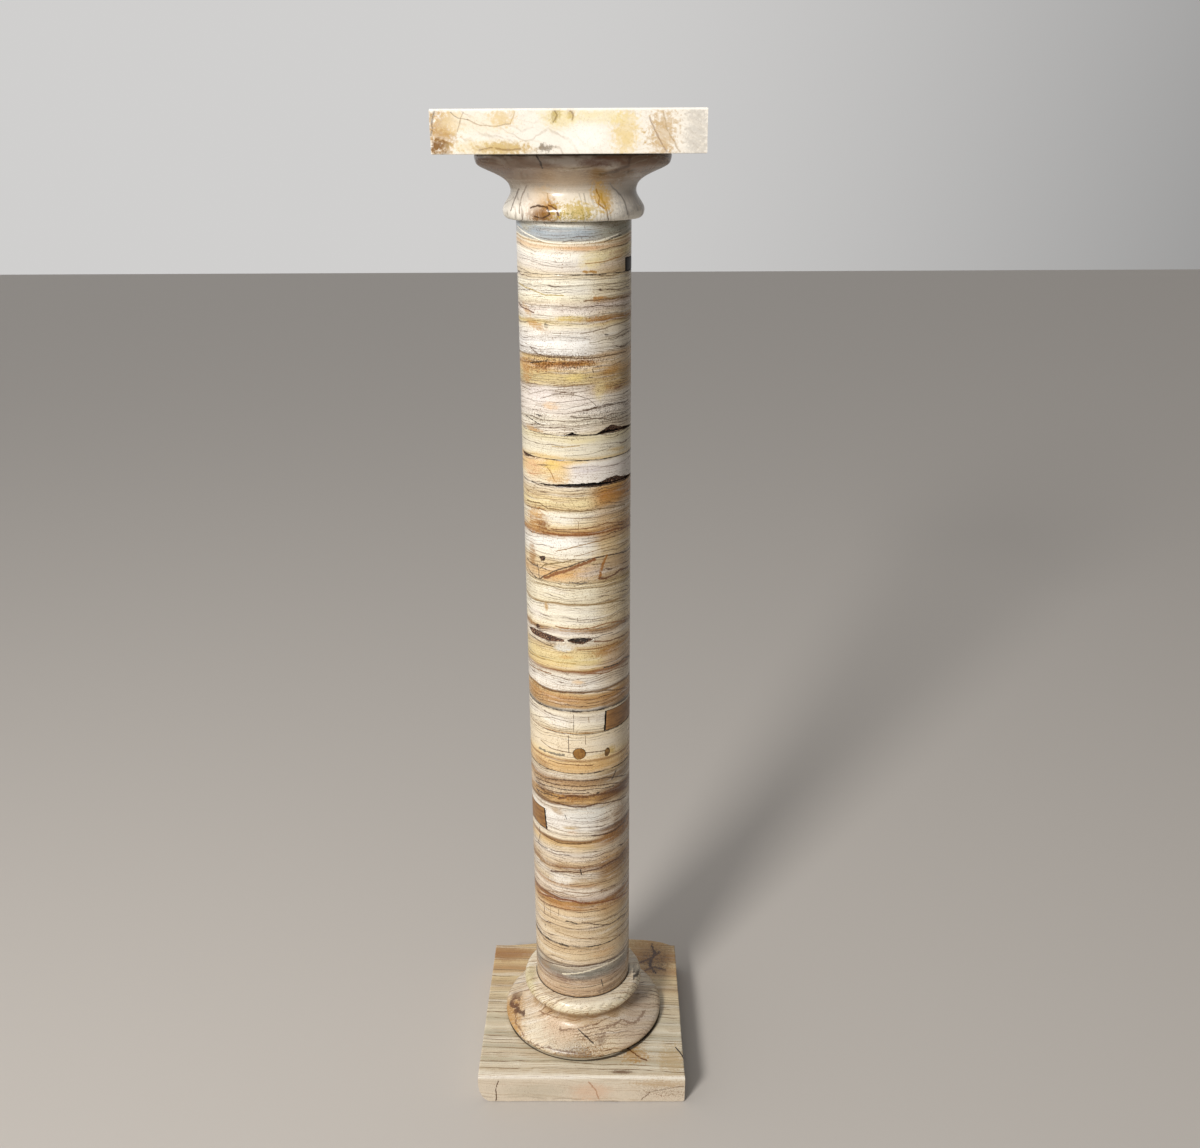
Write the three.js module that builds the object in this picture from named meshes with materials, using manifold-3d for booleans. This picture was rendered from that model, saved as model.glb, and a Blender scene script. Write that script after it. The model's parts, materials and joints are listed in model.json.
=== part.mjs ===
// Onyx column: a square foot slab, a turned base moulding, a round shaft of ten stacked drums,
// a turned capital and a square top slab, with the old repairs let into the shaft.
// Millimetres, +Z up, front towards -Y. The column stands on z = 0, centred on the Z axis.
import * as THREE from 'three';
import { mergeVertices } from 'three/addons/utils/BufferGeometryUtils.js';
import Module from 'manifold-3d';

const wasm = await Module();
wasm.setup();

// Driving dimensions
const slabSide = 240;
const footThickness = 36;
const mouldingHeight = 60;
const shaftHeight = 885;
const shaftRadius = 56.4;
const topSide = 239;
const topThickness = 37;

// Heights worked out from them, upwards
const shaftFoot = footThickness + mouldingHeight;
const shaftTop = shaftFoot + shaftHeight;
const capitalTop = shaftTop + mouldingHeight;

const roundSegments = 60;
const curveSteps = 4;
const repairGap = 0.3;
const repairDepth = 12;

// The height above the ground of each glued joint between two drums
const jointHeights = [168, 397.5, 446, 473.5, 620, 724.5, 752, 777.5, 932.5];

const stone = {
  cream: '#ddcdb2',
  paleCream: '#e6dac4',
  sand: '#cdb188',
  rose: '#cbb096',
  blueGrey: '#a9a89f',
  ochre: '#c08a45',
  white: '#e9e2d2',
  brown: '#6b4730',
  darkBrown: '#33251c',
};

// One colour for each drum, from the foot of the shaft up
const drumColours = [
  stone.rose, stone.sand, stone.sand, stone.paleCream, stone.cream,
  stone.cream, stone.paleCream, stone.cream, stone.white, stone.paleCream,
];

const column = new THREE.Group();

function addPiece(name, geometry, colour, roughness = 0.22) {
  const material = new THREE.MeshStandardMaterial({ color: colour, roughness, metalness: 0 });
  const mesh = new THREE.Mesh(geometry, material);
  mesh.name = name;
  column.add(mesh);
}

// Mesh geometry to a manifold solid and back
function toSolid(geometry) {
  const bare = geometry.index ? geometry.toNonIndexed() : geometry.clone();
  bare.deleteAttribute('normal');
  bare.deleteAttribute('uv');
  const merged = mergeVertices(bare, 1e-4);
  return new wasm.Manifold(new wasm.Mesh({
    numProp: 3,
    vertProperties: new Float32Array(merged.attributes.position.array),
    triVerts: new Uint32Array(merged.index.array),
  }));
}

function toGeometry(solid) {
  const mesh = solid.getMesh();
  const geometry = new THREE.BufferGeometry();
  geometry.setAttribute('position', new THREE.BufferAttribute(mesh.vertProperties, 3));
  geometry.setIndex(new THREE.BufferAttribute(mesh.triVerts, 1));
  const flat = geometry.toNonIndexed();
  flat.computeVertexNormals();
  return flat;
}

// A shape drawn in X and Y, raised from one height to another
function raise(shape, low, high, steps = 1) {
  const geometry = new THREE.ExtrudeGeometry(shape, {
    depth: high - low, steps, bevelEnabled: false, curveSegments: curveSteps,
  });
  return geometry.translate(0, 0, low);
}

function cylinder(radius, low, high) {
  const geometry = new THREE.CylinderGeometry(radius, radius, high - low, roundSegments);
  return geometry.rotateX(Math.PI / 2).translate(0, 0, (low + high) / 2);
}

// A point on the shaft, by its angle in degrees from the front towards +X
function onShaft(angle, height, radius = shaftRadius) {
  const turn = THREE.MathUtils.degToRad(angle);
  return new THREE.Vector3(radius * Math.sin(turn), -radius * Math.cos(turn), height);
}

// The foot slab is one block: its plan has a back edge that bows out, its front profile has
// two rounded lower corners, and its side profile has a rounded front top edge.
const footSlab = {
  bow: 14,
  bowPeakX: 40,
  bowLeftX: -100,
  bowRightX: 114,
  leftRoundWidth: 15,
  leftRoundHeight: 27,
  rightRound: 4,
  frontRound: 4.5,
};

function footPlan() {
  const half = slabSide / 2;
  const s = footSlab;
  const peakY = half + s.bow;
  const plan = new THREE.Shape();
  plan.moveTo(-half, -half);
  plan.lineTo(half, -half);
  plan.lineTo(half, half);
  plan.lineTo(s.bowRightX, half);
  plan.bezierCurveTo(s.bowRightX - 10, half + s.bow * 0.6, s.bowPeakX + 38, peakY, s.bowPeakX, peakY);
  plan.bezierCurveTo(s.bowPeakX - 50, peakY, s.bowLeftX + 40, half + s.bow * 0.3, s.bowLeftX, half);
  plan.lineTo(-half, half);
  return plan;
}

// Drawn in X and height, seen from the front
function footFrontProfile() {
  const half = slabSide / 2;
  const s = footSlab;
  const profile = new THREE.Shape();
  profile.moveTo(-half + s.leftRoundWidth, 0);
  profile.lineTo(half - s.rightRound, 0);
  profile.quadraticCurveTo(half, 0, half, s.rightRound);
  profile.lineTo(half, footThickness);
  profile.lineTo(-half, footThickness);
  profile.lineTo(-half, s.leftRoundHeight);
  profile.quadraticCurveTo(-half, 0, -half + s.leftRoundWidth, 0);
  return profile;
}

// Drawn in Y and height, seen from the side
function footSideProfile() {
  const front = -slabSide / 2;
  const back = slabSide / 2 + footSlab.bow + 1;
  const round = footSlab.frontRound;
  const profile = new THREE.Shape();
  profile.moveTo(front, 0);
  profile.lineTo(back, 0);
  profile.lineTo(back, footThickness);
  profile.lineTo(front + round, footThickness);
  profile.quadraticCurveTo(front, footThickness, front, footThickness - round);
  return profile;
}

function footSlabGeometry() {
  const reach = slabSide;
  const plan = toSolid(raise(footPlan(), 0, footThickness));
  const frontProfile = raise(footFrontProfile(), -reach, reach).rotateX(Math.PI / 2);
  const sideProfile = raise(footSideProfile(), -reach, reach);
  // Local X and Y turn into Y and Z, so the prism lies along X
  const turn = new THREE.Matrix4().makeBasis(
    new THREE.Vector3(0, 1, 0), new THREE.Vector3(0, 0, 1), new THREE.Vector3(1, 0, 0),
  );
  sideProfile.applyMatrix4(turn);
  return toGeometry(plan.intersect(toSolid(frontProfile)).intersect(toSolid(sideProfile)));
}

// A moulding turned in one piece: a wide bowl against the slab, a hollow neck and a lip
// against the shaft. The profile runs away from the slab.
function mouldingProfile({ bowl, neck, lip }) {
  const bowlEdge = 9;
  const neckStart = 28;
  const neckMiddle = 34;
  const lipMiddle = 51.5;
  const lipFlat = lip - 6.5;
  const profile = new THREE.Path();
  profile.moveTo(0, 0);
  profile.lineTo(bowl - 2, 0);
  profile.bezierCurveTo(bowl + 0.6, 1.5, bowl + 0.3, 6, bowl - 1.6, bowlEdge);
  profile.bezierCurveTo(bowl - 4, bowlEdge + 5.5, neck + 7, bowlEdge + 9.5, neck + 1.5, neckStart);
  profile.quadraticCurveTo(neck, neckStart + 3, neck, neckMiddle);
  profile.bezierCurveTo(neck, neckMiddle + 6, lip - 0.4, lipMiddle - 6, lip, lipMiddle);
  profile.bezierCurveTo(lip, lipMiddle + 4.5, lip - 2.5, mouldingHeight, lipFlat, mouldingHeight);
  profile.lineTo(0, mouldingHeight);
  return profile.getPoints(curveSteps);
}

// A lathe turns about Y, from low to high
function turned(points) {
  return new THREE.LatheGeometry(points, roundSegments).rotateX(Math.PI / 2);
}

const baseMoulding = { bowl: 97.3, neck: 62.5, lip: 71.3 };
const capitalMoulding = { bowl: 94.8, neck: 61, lip: 69 };

function baseMouldingGeometry() {
  return turned(mouldingProfile(baseMoulding)).translate(0, 0, footThickness);
}

// The capital is the same moulding upside down
function capitalGeometry() {
  const points = mouldingProfile(capitalMoulding)
    .map((p) => new THREE.Vector2(p.x, capitalTop - p.y))
    .reverse();
  return turned(points);
}

// Stone repairs let into the shaft: blocks the height of a stone layer, with a slanted end,
// and two round plugs. Angles are degrees from the front towards +X.
const patches = [
  { name: 'patch_right', from: 31, to: 100, low: 446.6, high: 470, slant: 1.5, colour: stone.brown },
  { name: 'patch_left', from: -100, to: -43, low: 319, high: 343.5, slant: -3, colour: stone.brown },
  { name: 'patch_top', from: 64, to: 96, low: 933, high: 945, slant: 0, colour: stone.darkBrown },
];

const plugs = [
  { name: 'plug_round', angle: 0.7, height: 422.2, width: 13.6, tall: 13.2, colour: stone.ochre },
  { name: 'plug_small', angle: 33.7, height: 419.5, width: 6.4, tall: 9.6, colour: stone.brown },
];

// A block that stands in the wall of the shaft and reaches past its face
function patchBlock({ from, to, low, high, slant }, grow) {
  const inner = shaftRadius - repairDepth - grow;
  const outer = shaftRadius + repairDepth;
  const start = THREE.MathUtils.degToRad(from - 90) - grow / shaftRadius;
  const end = THREE.MathUtils.degToRad(to - 90) + grow / shaftRadius;
  const ring = new THREE.Shape();
  ring.absarc(0, 0, outer, start, end, false);
  ring.absarc(0, 0, inner, end, start, true);
  const geometry = raise(ring, low - grow, high + grow);
  const position = geometry.attributes.position;
  const lean = THREE.MathUtils.degToRad(slant);
  const axis = new THREE.Vector3(0, 0, 1);
  const point = new THREE.Vector3();
  for (let i = 0; i < position.count; i += 1) {
    point.fromBufferAttribute(position, i);
    point.applyAxisAngle(axis, point.z > (low + high) / 2 ? lean : 0);
    position.setXYZ(i, point.x, point.y, point.z);
  }
  return toSolid(geometry);
}

// A round peg along the shaft's radius
function plugPeg({ angle, height, width, tall }, grow) {
  const sides = 16;
  const length = repairDepth * 2 + grow * 2;
  const peg = new THREE.CylinderGeometry(0.5, 0.5, length, sides);
  peg.scale(width + grow * 2, 1, tall + grow * 2);
  const centre = onShaft(angle, height);
  peg.rotateZ(THREE.MathUtils.degToRad(angle)).translate(centre.x, centre.y, centre.z);
  return toSolid(peg);
}

const repairs = [
  ...patches.map((patch) => ({ ...patch, solid: patchBlock })),
  ...plugs.map((plug) => ({ ...plug, solid: plugPeg })),
];

// Chips broken out of the drums' edges, as flattened balls sunk in the face
const chips = [
  { angle: 55, height: 727.5, width: 52, tall: 15, depth: 5 },
  { angle: 2, height: 725, width: 44, tall: 4, depth: 3 },
  { angle: 60, height: 777, width: 56, tall: 7, depth: 4 },
  { angle: 0.5, height: 778, width: 11, tall: 6, depth: 3 },
  { angle: -55, height: 752, width: 26, tall: 6, depth: 4 },
  { angle: -41, height: 645, width: 11, tall: 8, depth: 4 },
];

function chipBall({ angle, height, width, tall, depth }) {
  const ball = new THREE.IcosahedronGeometry(0.5, 1);
  ball.scale(width, depth * 2, tall);
  const centre = onShaft(angle, height);
  ball.rotateZ(THREE.MathUtils.degToRad(angle)).translate(centre.x, centre.y, centre.z);
  return toSolid(ball);
}

const shaftSolid = toSolid(cylinder(shaftRadius, shaftFoot, shaftTop));
const cuts = [
  ...repairs.map((repair) => repair.solid(repair, repairGap)),
  ...chips.map(chipBall),
];

addPiece('base_slab', footSlabGeometry(), stone.sand);
addPiece('base_moulding', baseMouldingGeometry(), stone.rose);

// The drums, from the foot of the shaft up
const drumEnds = [shaftFoot, ...jointHeights, shaftTop];
for (let i = 0; i < drumEnds.length - 1; i += 1) {
  let drum = toSolid(cylinder(shaftRadius, drumEnds[i], drumEnds[i + 1]));
  for (const cut of cuts) {
    drum = drum.subtract(cut);
  }
  const number = String(i + 1).padStart(2, '0');
  addPiece(`shaft_drum_${number}`, toGeometry(drum), drumColours[i]);
}

for (const repair of repairs) {
  const solid = repair.solid(repair, 0).intersect(shaftSolid);
  addPiece(repair.name, toGeometry(solid), repair.colour, 0.3);
}

addPiece('capital', capitalGeometry(), stone.white);

const topSlab = new THREE.BoxGeometry(topSide, topSide, topThickness)
  .translate(0, 0, capitalTop + topThickness / 2);
addPiece('top_slab', topSlab, stone.white);

export default column;
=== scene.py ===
import bpy
import json
import math
import numpy as np
from mathutils import Matrix, Vector


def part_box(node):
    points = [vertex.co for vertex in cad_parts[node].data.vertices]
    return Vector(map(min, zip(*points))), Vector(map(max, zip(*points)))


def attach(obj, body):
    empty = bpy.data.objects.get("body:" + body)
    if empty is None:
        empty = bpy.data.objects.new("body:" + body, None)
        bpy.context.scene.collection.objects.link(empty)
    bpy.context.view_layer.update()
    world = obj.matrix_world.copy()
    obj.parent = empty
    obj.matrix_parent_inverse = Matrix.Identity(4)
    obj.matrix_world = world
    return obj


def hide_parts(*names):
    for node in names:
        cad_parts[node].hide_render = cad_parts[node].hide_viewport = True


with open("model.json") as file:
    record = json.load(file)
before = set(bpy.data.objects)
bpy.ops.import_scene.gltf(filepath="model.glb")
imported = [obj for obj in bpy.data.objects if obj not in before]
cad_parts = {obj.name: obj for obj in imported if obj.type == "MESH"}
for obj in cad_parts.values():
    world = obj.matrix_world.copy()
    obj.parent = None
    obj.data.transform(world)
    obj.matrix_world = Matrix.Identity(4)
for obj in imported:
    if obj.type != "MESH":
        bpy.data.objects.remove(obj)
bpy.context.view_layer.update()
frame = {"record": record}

# Onyx column: every drum, moulding and slab is rebuilt finer than its CAD solid, in millimetres,
# and given its own banded stone. Places read off the photograph are pixels of its 1200 x 1148 frame.

mm = 0.001

# The photograph's camera, fitted to the slabs' corners and the shaft's joints
view = {
    "imageWidth": 1200,
    "imageHeight": 1148,
    "focalPixels": 1187.0,
    "place": (35.4, -1205.7, 1053.9),  # mm
    "lookDown": 20.172,  # degrees
    "turnLeft": 0.558,
    "roll": -0.314,
}


def viewTurn():
    turn = Matrix.Rotation(math.radians(view["turnLeft"]), 3, "Z")
    tip = Matrix.Rotation(math.radians(90 - view["lookDown"]), 3, "X")
    roll = Matrix.Rotation(math.radians(view["roll"]), 3, "Z")
    return turn @ tip @ roll


def sightLine(pixel):
    across = (pixel[0] - view["imageWidth"] / 2) / view["focalPixels"]
    up = (view["imageHeight"] / 2 - pixel[1]) / view["focalPixels"]
    return viewTurn() @ Vector((across, up, -1))


# Where a pixel's sight line meets a round piece: distance round from the front, and height
def onRound(pixel, radius):
    eye = Vector(view["place"])
    ray = sightLine(pixel)
    a = ray.x ** 2 + ray.y ** 2
    b = 2 * (eye.x * ray.x + eye.y * ray.y)
    c = eye.x ** 2 + eye.y ** 2 - radius ** 2
    step = (-b - math.sqrt(max(b * b - 4 * a * c, 0))) / (2 * a)
    point = eye + ray * step
    return math.atan2(point.x, -point.y) * radius, point.z


# Where it meets a level face, or an upright face square to Y
def onLevel(pixel, height):
    eye = Vector(view["place"])
    ray = sightLine(pixel)
    point = eye + ray * ((height - eye.z) / ray.z)
    return point.x, point.y


def onFront(pixel, depth):
    eye = Vector(view["place"])
    ray = sightLine(pixel)
    point = eye + ray * ((depth - eye.y) / ray.y)
    return point.x, point.z


def boxOf(nodeName):
    low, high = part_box(nodeName)
    return [v / mm for v in low], [v / mm for v in high]


shaftRadius = boxOf("shaft_drum_01")[1][0]
drumNames = ["shaft_drum_%02d" % number for number in range(1, 11)]


# Colours are written as the lit stone shows them. richness makes the coloured ones stronger, greening
# turns orange towards gold, and deepening makes the darker ones darker still, but none past darkest.
richness = 1.16
greening = 0.02
deepening = 0.16
darkest = 0.22
stoneColours = {
    "white": "#f6f1e8", "coolWhite": "#e8e8e2", "pinkWhite": "#efe3d8", "ivory": "#f3e9d3",
    "cream": "#efdfc0", "butter": "#eddb9f", "peach": "#efcda2", "pink": "#dfc0a4",
    "sand": "#dcc19a", "honey": "#dfb077", "ochre": "#c58c43", "amber": "#b5741f",
    "rust": "#8c5226", "umber": "#5f3b1f", "dark": "#301b0b", "grey": "#a89d90",
    "blueGrey": "#b6bcb6", "slate": "#9b958a", "greyBrown": "#8d7b66", "olive": "#b7a76a",
}


# Small helpers for node trees. A value may be a number, a tuple, a colour or another node's socket.
def linear(colour):
    hexColour = stoneColours.get(colour, colour)
    parts = [int(hexColour[i:i + 2], 16) / 255 for i in (1, 3, 5)]
    red, green, blue = (((c + 0.055) / 1.055) ** (2.4 * richness) for c in parts)
    green += greening * max(red - blue, 0)
    light = max(0.25 * red + 0.65 * green + 0.1 * blue, darkest) ** deepening
    return red * light, green * light, blue * light, 1


def plug(tree, socket, value):
    if isinstance(value, bpy.types.NodeSocket):
        tree.links.new(value, socket)
    elif isinstance(value, str):
        socket.default_value = linear(value)
    else:
        socket.default_value = value


def calc(tree, operation, *values, clamp=False):
    made = tree.nodes.new("ShaderNodeMath")
    made.operation = operation
    made.use_clamp = clamp
    for i, value in enumerate(values):
        plug(tree, made.inputs[i], value)
    return made.outputs[0]


def plus(tree, first, second, clamp=False):
    return calc(tree, "ADD", first, second, clamp=clamp)


def minus(tree, first, second, clamp=False):
    return calc(tree, "SUBTRACT", first, second, clamp=clamp)


def times(tree, first, second, clamp=False):
    return calc(tree, "MULTIPLY", first, second, clamp=clamp)


def over(tree, first, second, clamp=False):
    return calc(tree, "DIVIDE", first, second, clamp=clamp)


def vectorCalc(tree, operation, *values, scale=None):
    made = tree.nodes.new("ShaderNodeVectorMath")
    made.operation = operation
    for i, value in enumerate(values):
        plug(tree, made.inputs[i], value)
    if scale is not None:
        plug(tree, made.inputs["Scale"], scale)
    return made.outputs["Value" if operation in ("DOT_PRODUCT", "LENGTH", "DISTANCE") else "Vector"]


def ease(tree, value, fromLow, fromHigh, toLow=0.0, toHigh=1.0):
    made = tree.nodes.new("ShaderNodeMapRange")
    made.interpolation_type = "SMOOTHSTEP"
    for name, item in (("Value", value), ("From Min", fromLow), ("From Max", fromHigh),
                       ("To Min", toLow), ("To Max", toHigh)):
        plug(tree, made.inputs[name], item)
    return made.outputs["Result"]


def cloud(tree, vector, scale, detail=3.0, rough=0.55, distort=0.0):
    made = tree.nodes.new("ShaderNodeTexNoise")
    plug(tree, made.inputs["Vector"], vector)
    made.inputs["Scale"].default_value = scale
    made.inputs["Detail"].default_value = detail
    made.inputs["Roughness"].default_value = rough
    made.inputs["Distortion"].default_value = distort
    return made.outputs["Fac"]


def blend(tree, factor, first, second, kind="MIX"):
    made = tree.nodes.new("ShaderNodeMix")
    made.data_type = "RGBA"
    made.blend_type = kind
    plug(tree, made.inputs["Factor"], factor)
    plug(tree, made.inputs[6], first)
    plug(tree, made.inputs[7], second)
    return made.outputs[2]


def joinXYZ(tree, x, y, z):
    made = tree.nodes.new("ShaderNodeCombineXYZ")
    for i, value in enumerate((x, y, z)):
        plug(tree, made.inputs[i], value)
    return made.outputs[0]


def splitXYZ(tree, vector):
    made = tree.nodes.new("ShaderNodeSeparateXYZ")
    plug(tree, made.inputs[0], vector)
    return made.outputs


def newGroup(name, inputs, outputs):
    group = bpy.data.node_groups.new(name, "ShaderNodeTree")
    for label, kind, start in inputs:
        socket = group.interface.new_socket(name=label, in_out="INPUT", socket_type="NodeSocket" + kind)
        if start is not None:
            socket.default_value = start
    for label, kind in outputs:
        group.interface.new_socket(name=label, in_out="OUTPUT", socket_type="NodeSocket" + kind)
    return group, group.nodes.new("NodeGroupInput").outputs, group.nodes.new("NodeGroupOutput").inputs


def useGroup(tree, group, **values):
    made = tree.nodes.new("ShaderNodeGroup")
    made.node_tree = group
    for name, value in values.items():
        plug(tree, made.inputs[name], value)
    return made.outputs


# Object coordinates in mm
def objectPoint(group):
    coords = group.nodes.new("ShaderNodeTexCoord")
    return vectorCalc(group, "SCALE", coords.outputs["Object"], scale=1 / mm)


# Round place: millimetres round the axis from the front, height, and how far inside the face
def buildRoundPlace():
    group, given, out = newGroup("roundPlace", [("Radius", "Float", 1.0)],
                                 [("Place", "Vector"), ("Point", "Vector"), ("Inside", "Float")])
    point = objectPoint(group)
    x, y, z = splitXYZ(group, point)
    angle = calc(group, "ARCTAN2", x, times(group, y, -1.0))
    along = times(group, angle, given["Radius"])
    far = vectorCalc(group, "LENGTH", joinXYZ(group, x, y, 0.0))
    plug(group, out["Place"], joinXYZ(group, along, z, 0.0))
    plug(group, out["Point"], point)
    plug(group, out["Inside"], minus(group, given["Radius"], far))
    return group


# Wandering: bends a place so that bands and veins are not ruled lines. Slow and quick waves, sag at
# the front and tilt are in mm; Rag is fine noise for ragged edges.
sagFlattens = 1.6  # sag grows no more beyond this squared angle from the front
sideways = 6.0  # mm


def buildWander():
    group, given, out = newGroup("wander", [
        ("Place", "Vector", None), ("Point", "Vector", None), ("Slow", "Float", 5.0),
        ("Quick", "Float", 1.5), ("Sag", "Float", 0.0), ("Tilt", "Float", 0.0),
    ], [("Place", "Vector"), ("Rag", "Float")])
    slow = minus(group, cloud(group, given["Point"], 0.014, 2.0), 0.5)
    quick = minus(group, cloud(group, given["Point"], 0.06, 3.0), 0.5)
    side = cloud(group, given["Point"], 0.05, 2.0, distort=0.3)
    across, height, spare = splitXYZ(group, given["Place"])
    reach = over(group, across, shaftRadius)
    rise = times(group, slow, times(group, given["Slow"], 2.0))
    rise = calc(group, "MULTIPLY_ADD", quick, times(group, given["Quick"], 2.0), rise)
    bowl = calc(group, "MINIMUM", times(group, reach, reach), sagFlattens)
    rise = minus(group, rise, times(group, bowl, given["Sag"]))
    rise = minus(group, rise, times(group, calc(group, "SINE", reach), given["Tilt"]))
    shift = times(group, minus(group, side, 0.5), sideways)
    plug(group, out["Place"], joinXYZ(group, plus(group, across, shift), plus(group, height, rise), 0.0))
    plug(group, out["Rag"], cloud(group, given["Point"], 0.35, 4.0, 0.65))
    return group


# A vein along one straight stretch, its width ragged
def buildVein():
    group, given, out = newGroup("vein", [
        ("Place", "Vector", None), ("From", "Vector", None), ("To", "Vector", None),
        ("Width", "Float", 1.0), ("Soft", "Float", 0.5), ("Rag", "Float", 0.5), ("Broken", "Float", 1.0),
    ], [("Mask", "Float")])
    run = vectorCalc(group, "SUBTRACT", given["To"], given["From"])
    reach = vectorCalc(group, "SUBTRACT", given["Place"], given["From"])
    share = over(group, vectorCalc(group, "DOT_PRODUCT", reach, run),
                 vectorCalc(group, "DOT_PRODUCT", run, run), clamp=True)
    near = vectorCalc(group, "ADD", given["From"], vectorCalc(group, "SCALE", run, scale=share))
    away = vectorCalc(group, "DISTANCE", given["Place"], near)
    rag = times(group, minus(group, given["Rag"], 0.5), given["Broken"])
    width = times(group, given["Width"], calc(group, "MULTIPLY_ADD", rag, 2.4, 0.85))
    width = calc(group, "MAXIMUM", width, 0.02)
    outer = times(group, width, plus(group, 1.0, given["Soft"]))
    inner = times(group, width, minus(group, 1.0, given["Soft"]))
    plug(group, out["Mask"], ease(group, away, outer, inner))
    return group


# A stain or a patch of other stone: an oval with a ragged edge
def buildStain():
    group, given, out = newGroup("stain", [
        ("Place", "Vector", None), ("Centre", "Vector", None), ("Reach", "Vector", (10, 5, 1)),
        ("Soft", "Float", 0.5), ("Rag", "Float", 0.5), ("Ragged", "Float", 0.8), ("Slant", "Float", 0.0),
    ], [("Mask", "Float")])
    apart = vectorCalc(group, "SUBTRACT", given["Place"], given["Centre"])
    across, height, spare = splitXYZ(group, apart)
    height = minus(group, height, times(group, across, given["Slant"]))
    apart = joinXYZ(group, across, height, 0.0)
    size = vectorCalc(group, "LENGTH", vectorCalc(group, "DIVIDE", apart, given["Reach"]))
    rag = times(group, minus(group, given["Rag"], 0.5), given["Ragged"])
    size = calc(group, "MULTIPLY_ADD", rag, 2.0, size)
    plug(group, out["Mask"], ease(group, size, plus(group, 1.0, given["Soft"]),
                                  minus(group, 1.0, given["Soft"])))
    return group


# Fine layers that follow the bands: height counted in steps and bent by noise. Thin lines lie
# between the steps, and each step is a little lighter or darker than the next.
def layerSteps(group, point, height, spacing, run, shift, swirl):
    x, y, z = splitXYZ(group, point)
    tall = times(group, spacing, 7.0)
    flat = joinXYZ(group, over(group, x, run), over(group, y, run), over(group, height, tall))
    bend = cloud(group, vectorCalc(group, "ADD", flat, shift), 1.0, 4.0, 0.5)
    cycles = calc(group, "MULTIPLY_ADD", bend, swirl, over(group, height, spacing))
    level = calc(group, "FLOOR", cycles)
    away = calc(group, "ABSOLUTE", minus(group, calc(group, "FRACT", cycles), 0.5))
    chance = group.nodes.new("ShaderNodeTexWhiteNoise")
    chance.noise_dimensions = "1D"
    plug(group, chance.inputs["W"], level)
    return away, chance.outputs["Value"]


fineSpacing = 0.47
paleSpacing = 1.4
fineShift = (7.3, 2.1, 5.7)
paleShift = (3.1, 9.4, 1.7)


def buildLayers():
    group, given, out = newGroup("layers", [
        ("Point", "Vector", None), ("Height", "Float", 0.0), ("Spacing", "Float", 3.0),
        ("Run", "Float", 60.0), ("Swirl", "Float", 6.0),
    ], [("Dark", "Float"), ("Fine", "Float"), ("Light", "Float"), ("Tone", "Float"), ("Streak", "Float")])
    point, height, spacing, run = (given[key] for key in ("Point", "Height", "Spacing", "Run"))
    patchy = ease(group, cloud(group, point, 0.045, 4.0, 0.6), 0.34, 0.56)
    away, chance = layerSteps(group, point, height, spacing, run, (0.0, 0.0, 0.0), given["Swirl"])
    line = ease(group, away, 0.16, 0.03)
    weight = ease(group, chance, 0.1, 0.8)
    dark = times(group, times(group, line, weight), patchy)
    plug(group, out["Dark"], dark)
    plug(group, out["Tone"], chance)
    tight = times(group, spacing, fineSpacing)
    away, chance = layerSteps(group, point, height, tight, run, fineShift, given["Swirl"])
    other = ease(group, cloud(group, point, 0.06, 3.0), 0.3, 0.52)
    plug(group, out["Fine"], times(group, times(group, ease(group, away, 0.24, 0.05),
                                                ease(group, chance, 0.1, 0.8)), other))
    x, y, z = splitXYZ(group, point)
    flat = joinXYZ(group, over(group, x, run), over(group, y, run),
                   over(group, height, times(group, spacing, paleSpacing)))
    pale = cloud(group, vectorCalc(group, "ADD", flat, paleShift), 0.8, 3.0, 0.6)
    plug(group, out["Light"], ease(group, pale, 0.5, 0.68))
    short = vectorCalc(group, "MULTIPLY", flat, (2.6, 2.6, 2.2))
    plug(group, out["Streak"], cloud(group, short, 1.0, 4.0, 0.7))
    return group


# Broken stone inside a chip or a void, with painted shade: deeper than about 3 mm the colour goes black
def buildBrokenAndShade():
    group, given, out = newGroup("broken", [
        ("Inside", "Float", 0.0), ("Point", "Vector", None), ("Start", "Float", 0.45), ("Full", "Float", 1.3),
    ], [("Mask", "Float"), ("Colour", "Color")])
    grit = cloud(group, given["Point"], 0.6, 5.0, 0.75)
    ramp = group.nodes.new("ShaderNodeValToRGB")
    paintRamp(ramp, [(0.34, "#120a06"), (0.44, "#3a2114"), (0.52, "#714630"), (0.58, "#a87e5c"),
                     (0.66, "#e6d6bd")])
    plug(group, ramp.inputs[0], grit)
    plug(group, out["Mask"], ease(group, given["Inside"], given["Start"], given["Full"]))
    # painted shade: black in the deepest part of a chip or void
    deep = ease(group, given["Inside"], 2.8, 3.8, 0.0, 0.92)
    plug(group, out["Colour"], blend(group, deep, ramp.outputs[0], "#0b0604"))
    return group


def paintRamp(ramp, stops):
    elements = ramp.color_ramp.elements
    while len(elements) > 1:
        elements.remove(elements[-1])
    elements[0].position = stops[0][0]
    elements[0].color = linear(stops[0][1])
    for position, colour in stops[1:]:
        elements.new(position).color = linear(colour)


roundPlace = buildRoundPlace()
wander = buildWander()
veinGroup = buildVein()
stainGroup = buildStain()
layersGroup = buildLayers()
brokenAndShadeGroup = buildBrokenAndShade()
print("stone effects built")


# Bands up a piece as a colour ramp: stops are (height in mm, colour name)
def bandRamp(tree, height, low, high, stops):
    ramp = tree.nodes.new("ShaderNodeValToRGB")
    span = high - low
    paintRamp(ramp, [((at - low) / span, colour) for at, colour in sorted(stops.items())])
    plug(tree, ramp.inputs[0], over(tree, minus(tree, height, low), span))
    return ramp.outputs[0]


def strongest(tree, masks):
    total = masks[0]
    for mask in masks[1:]:
        total = calc(tree, "MAXIMUM", total, mask)
    return total


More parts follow.
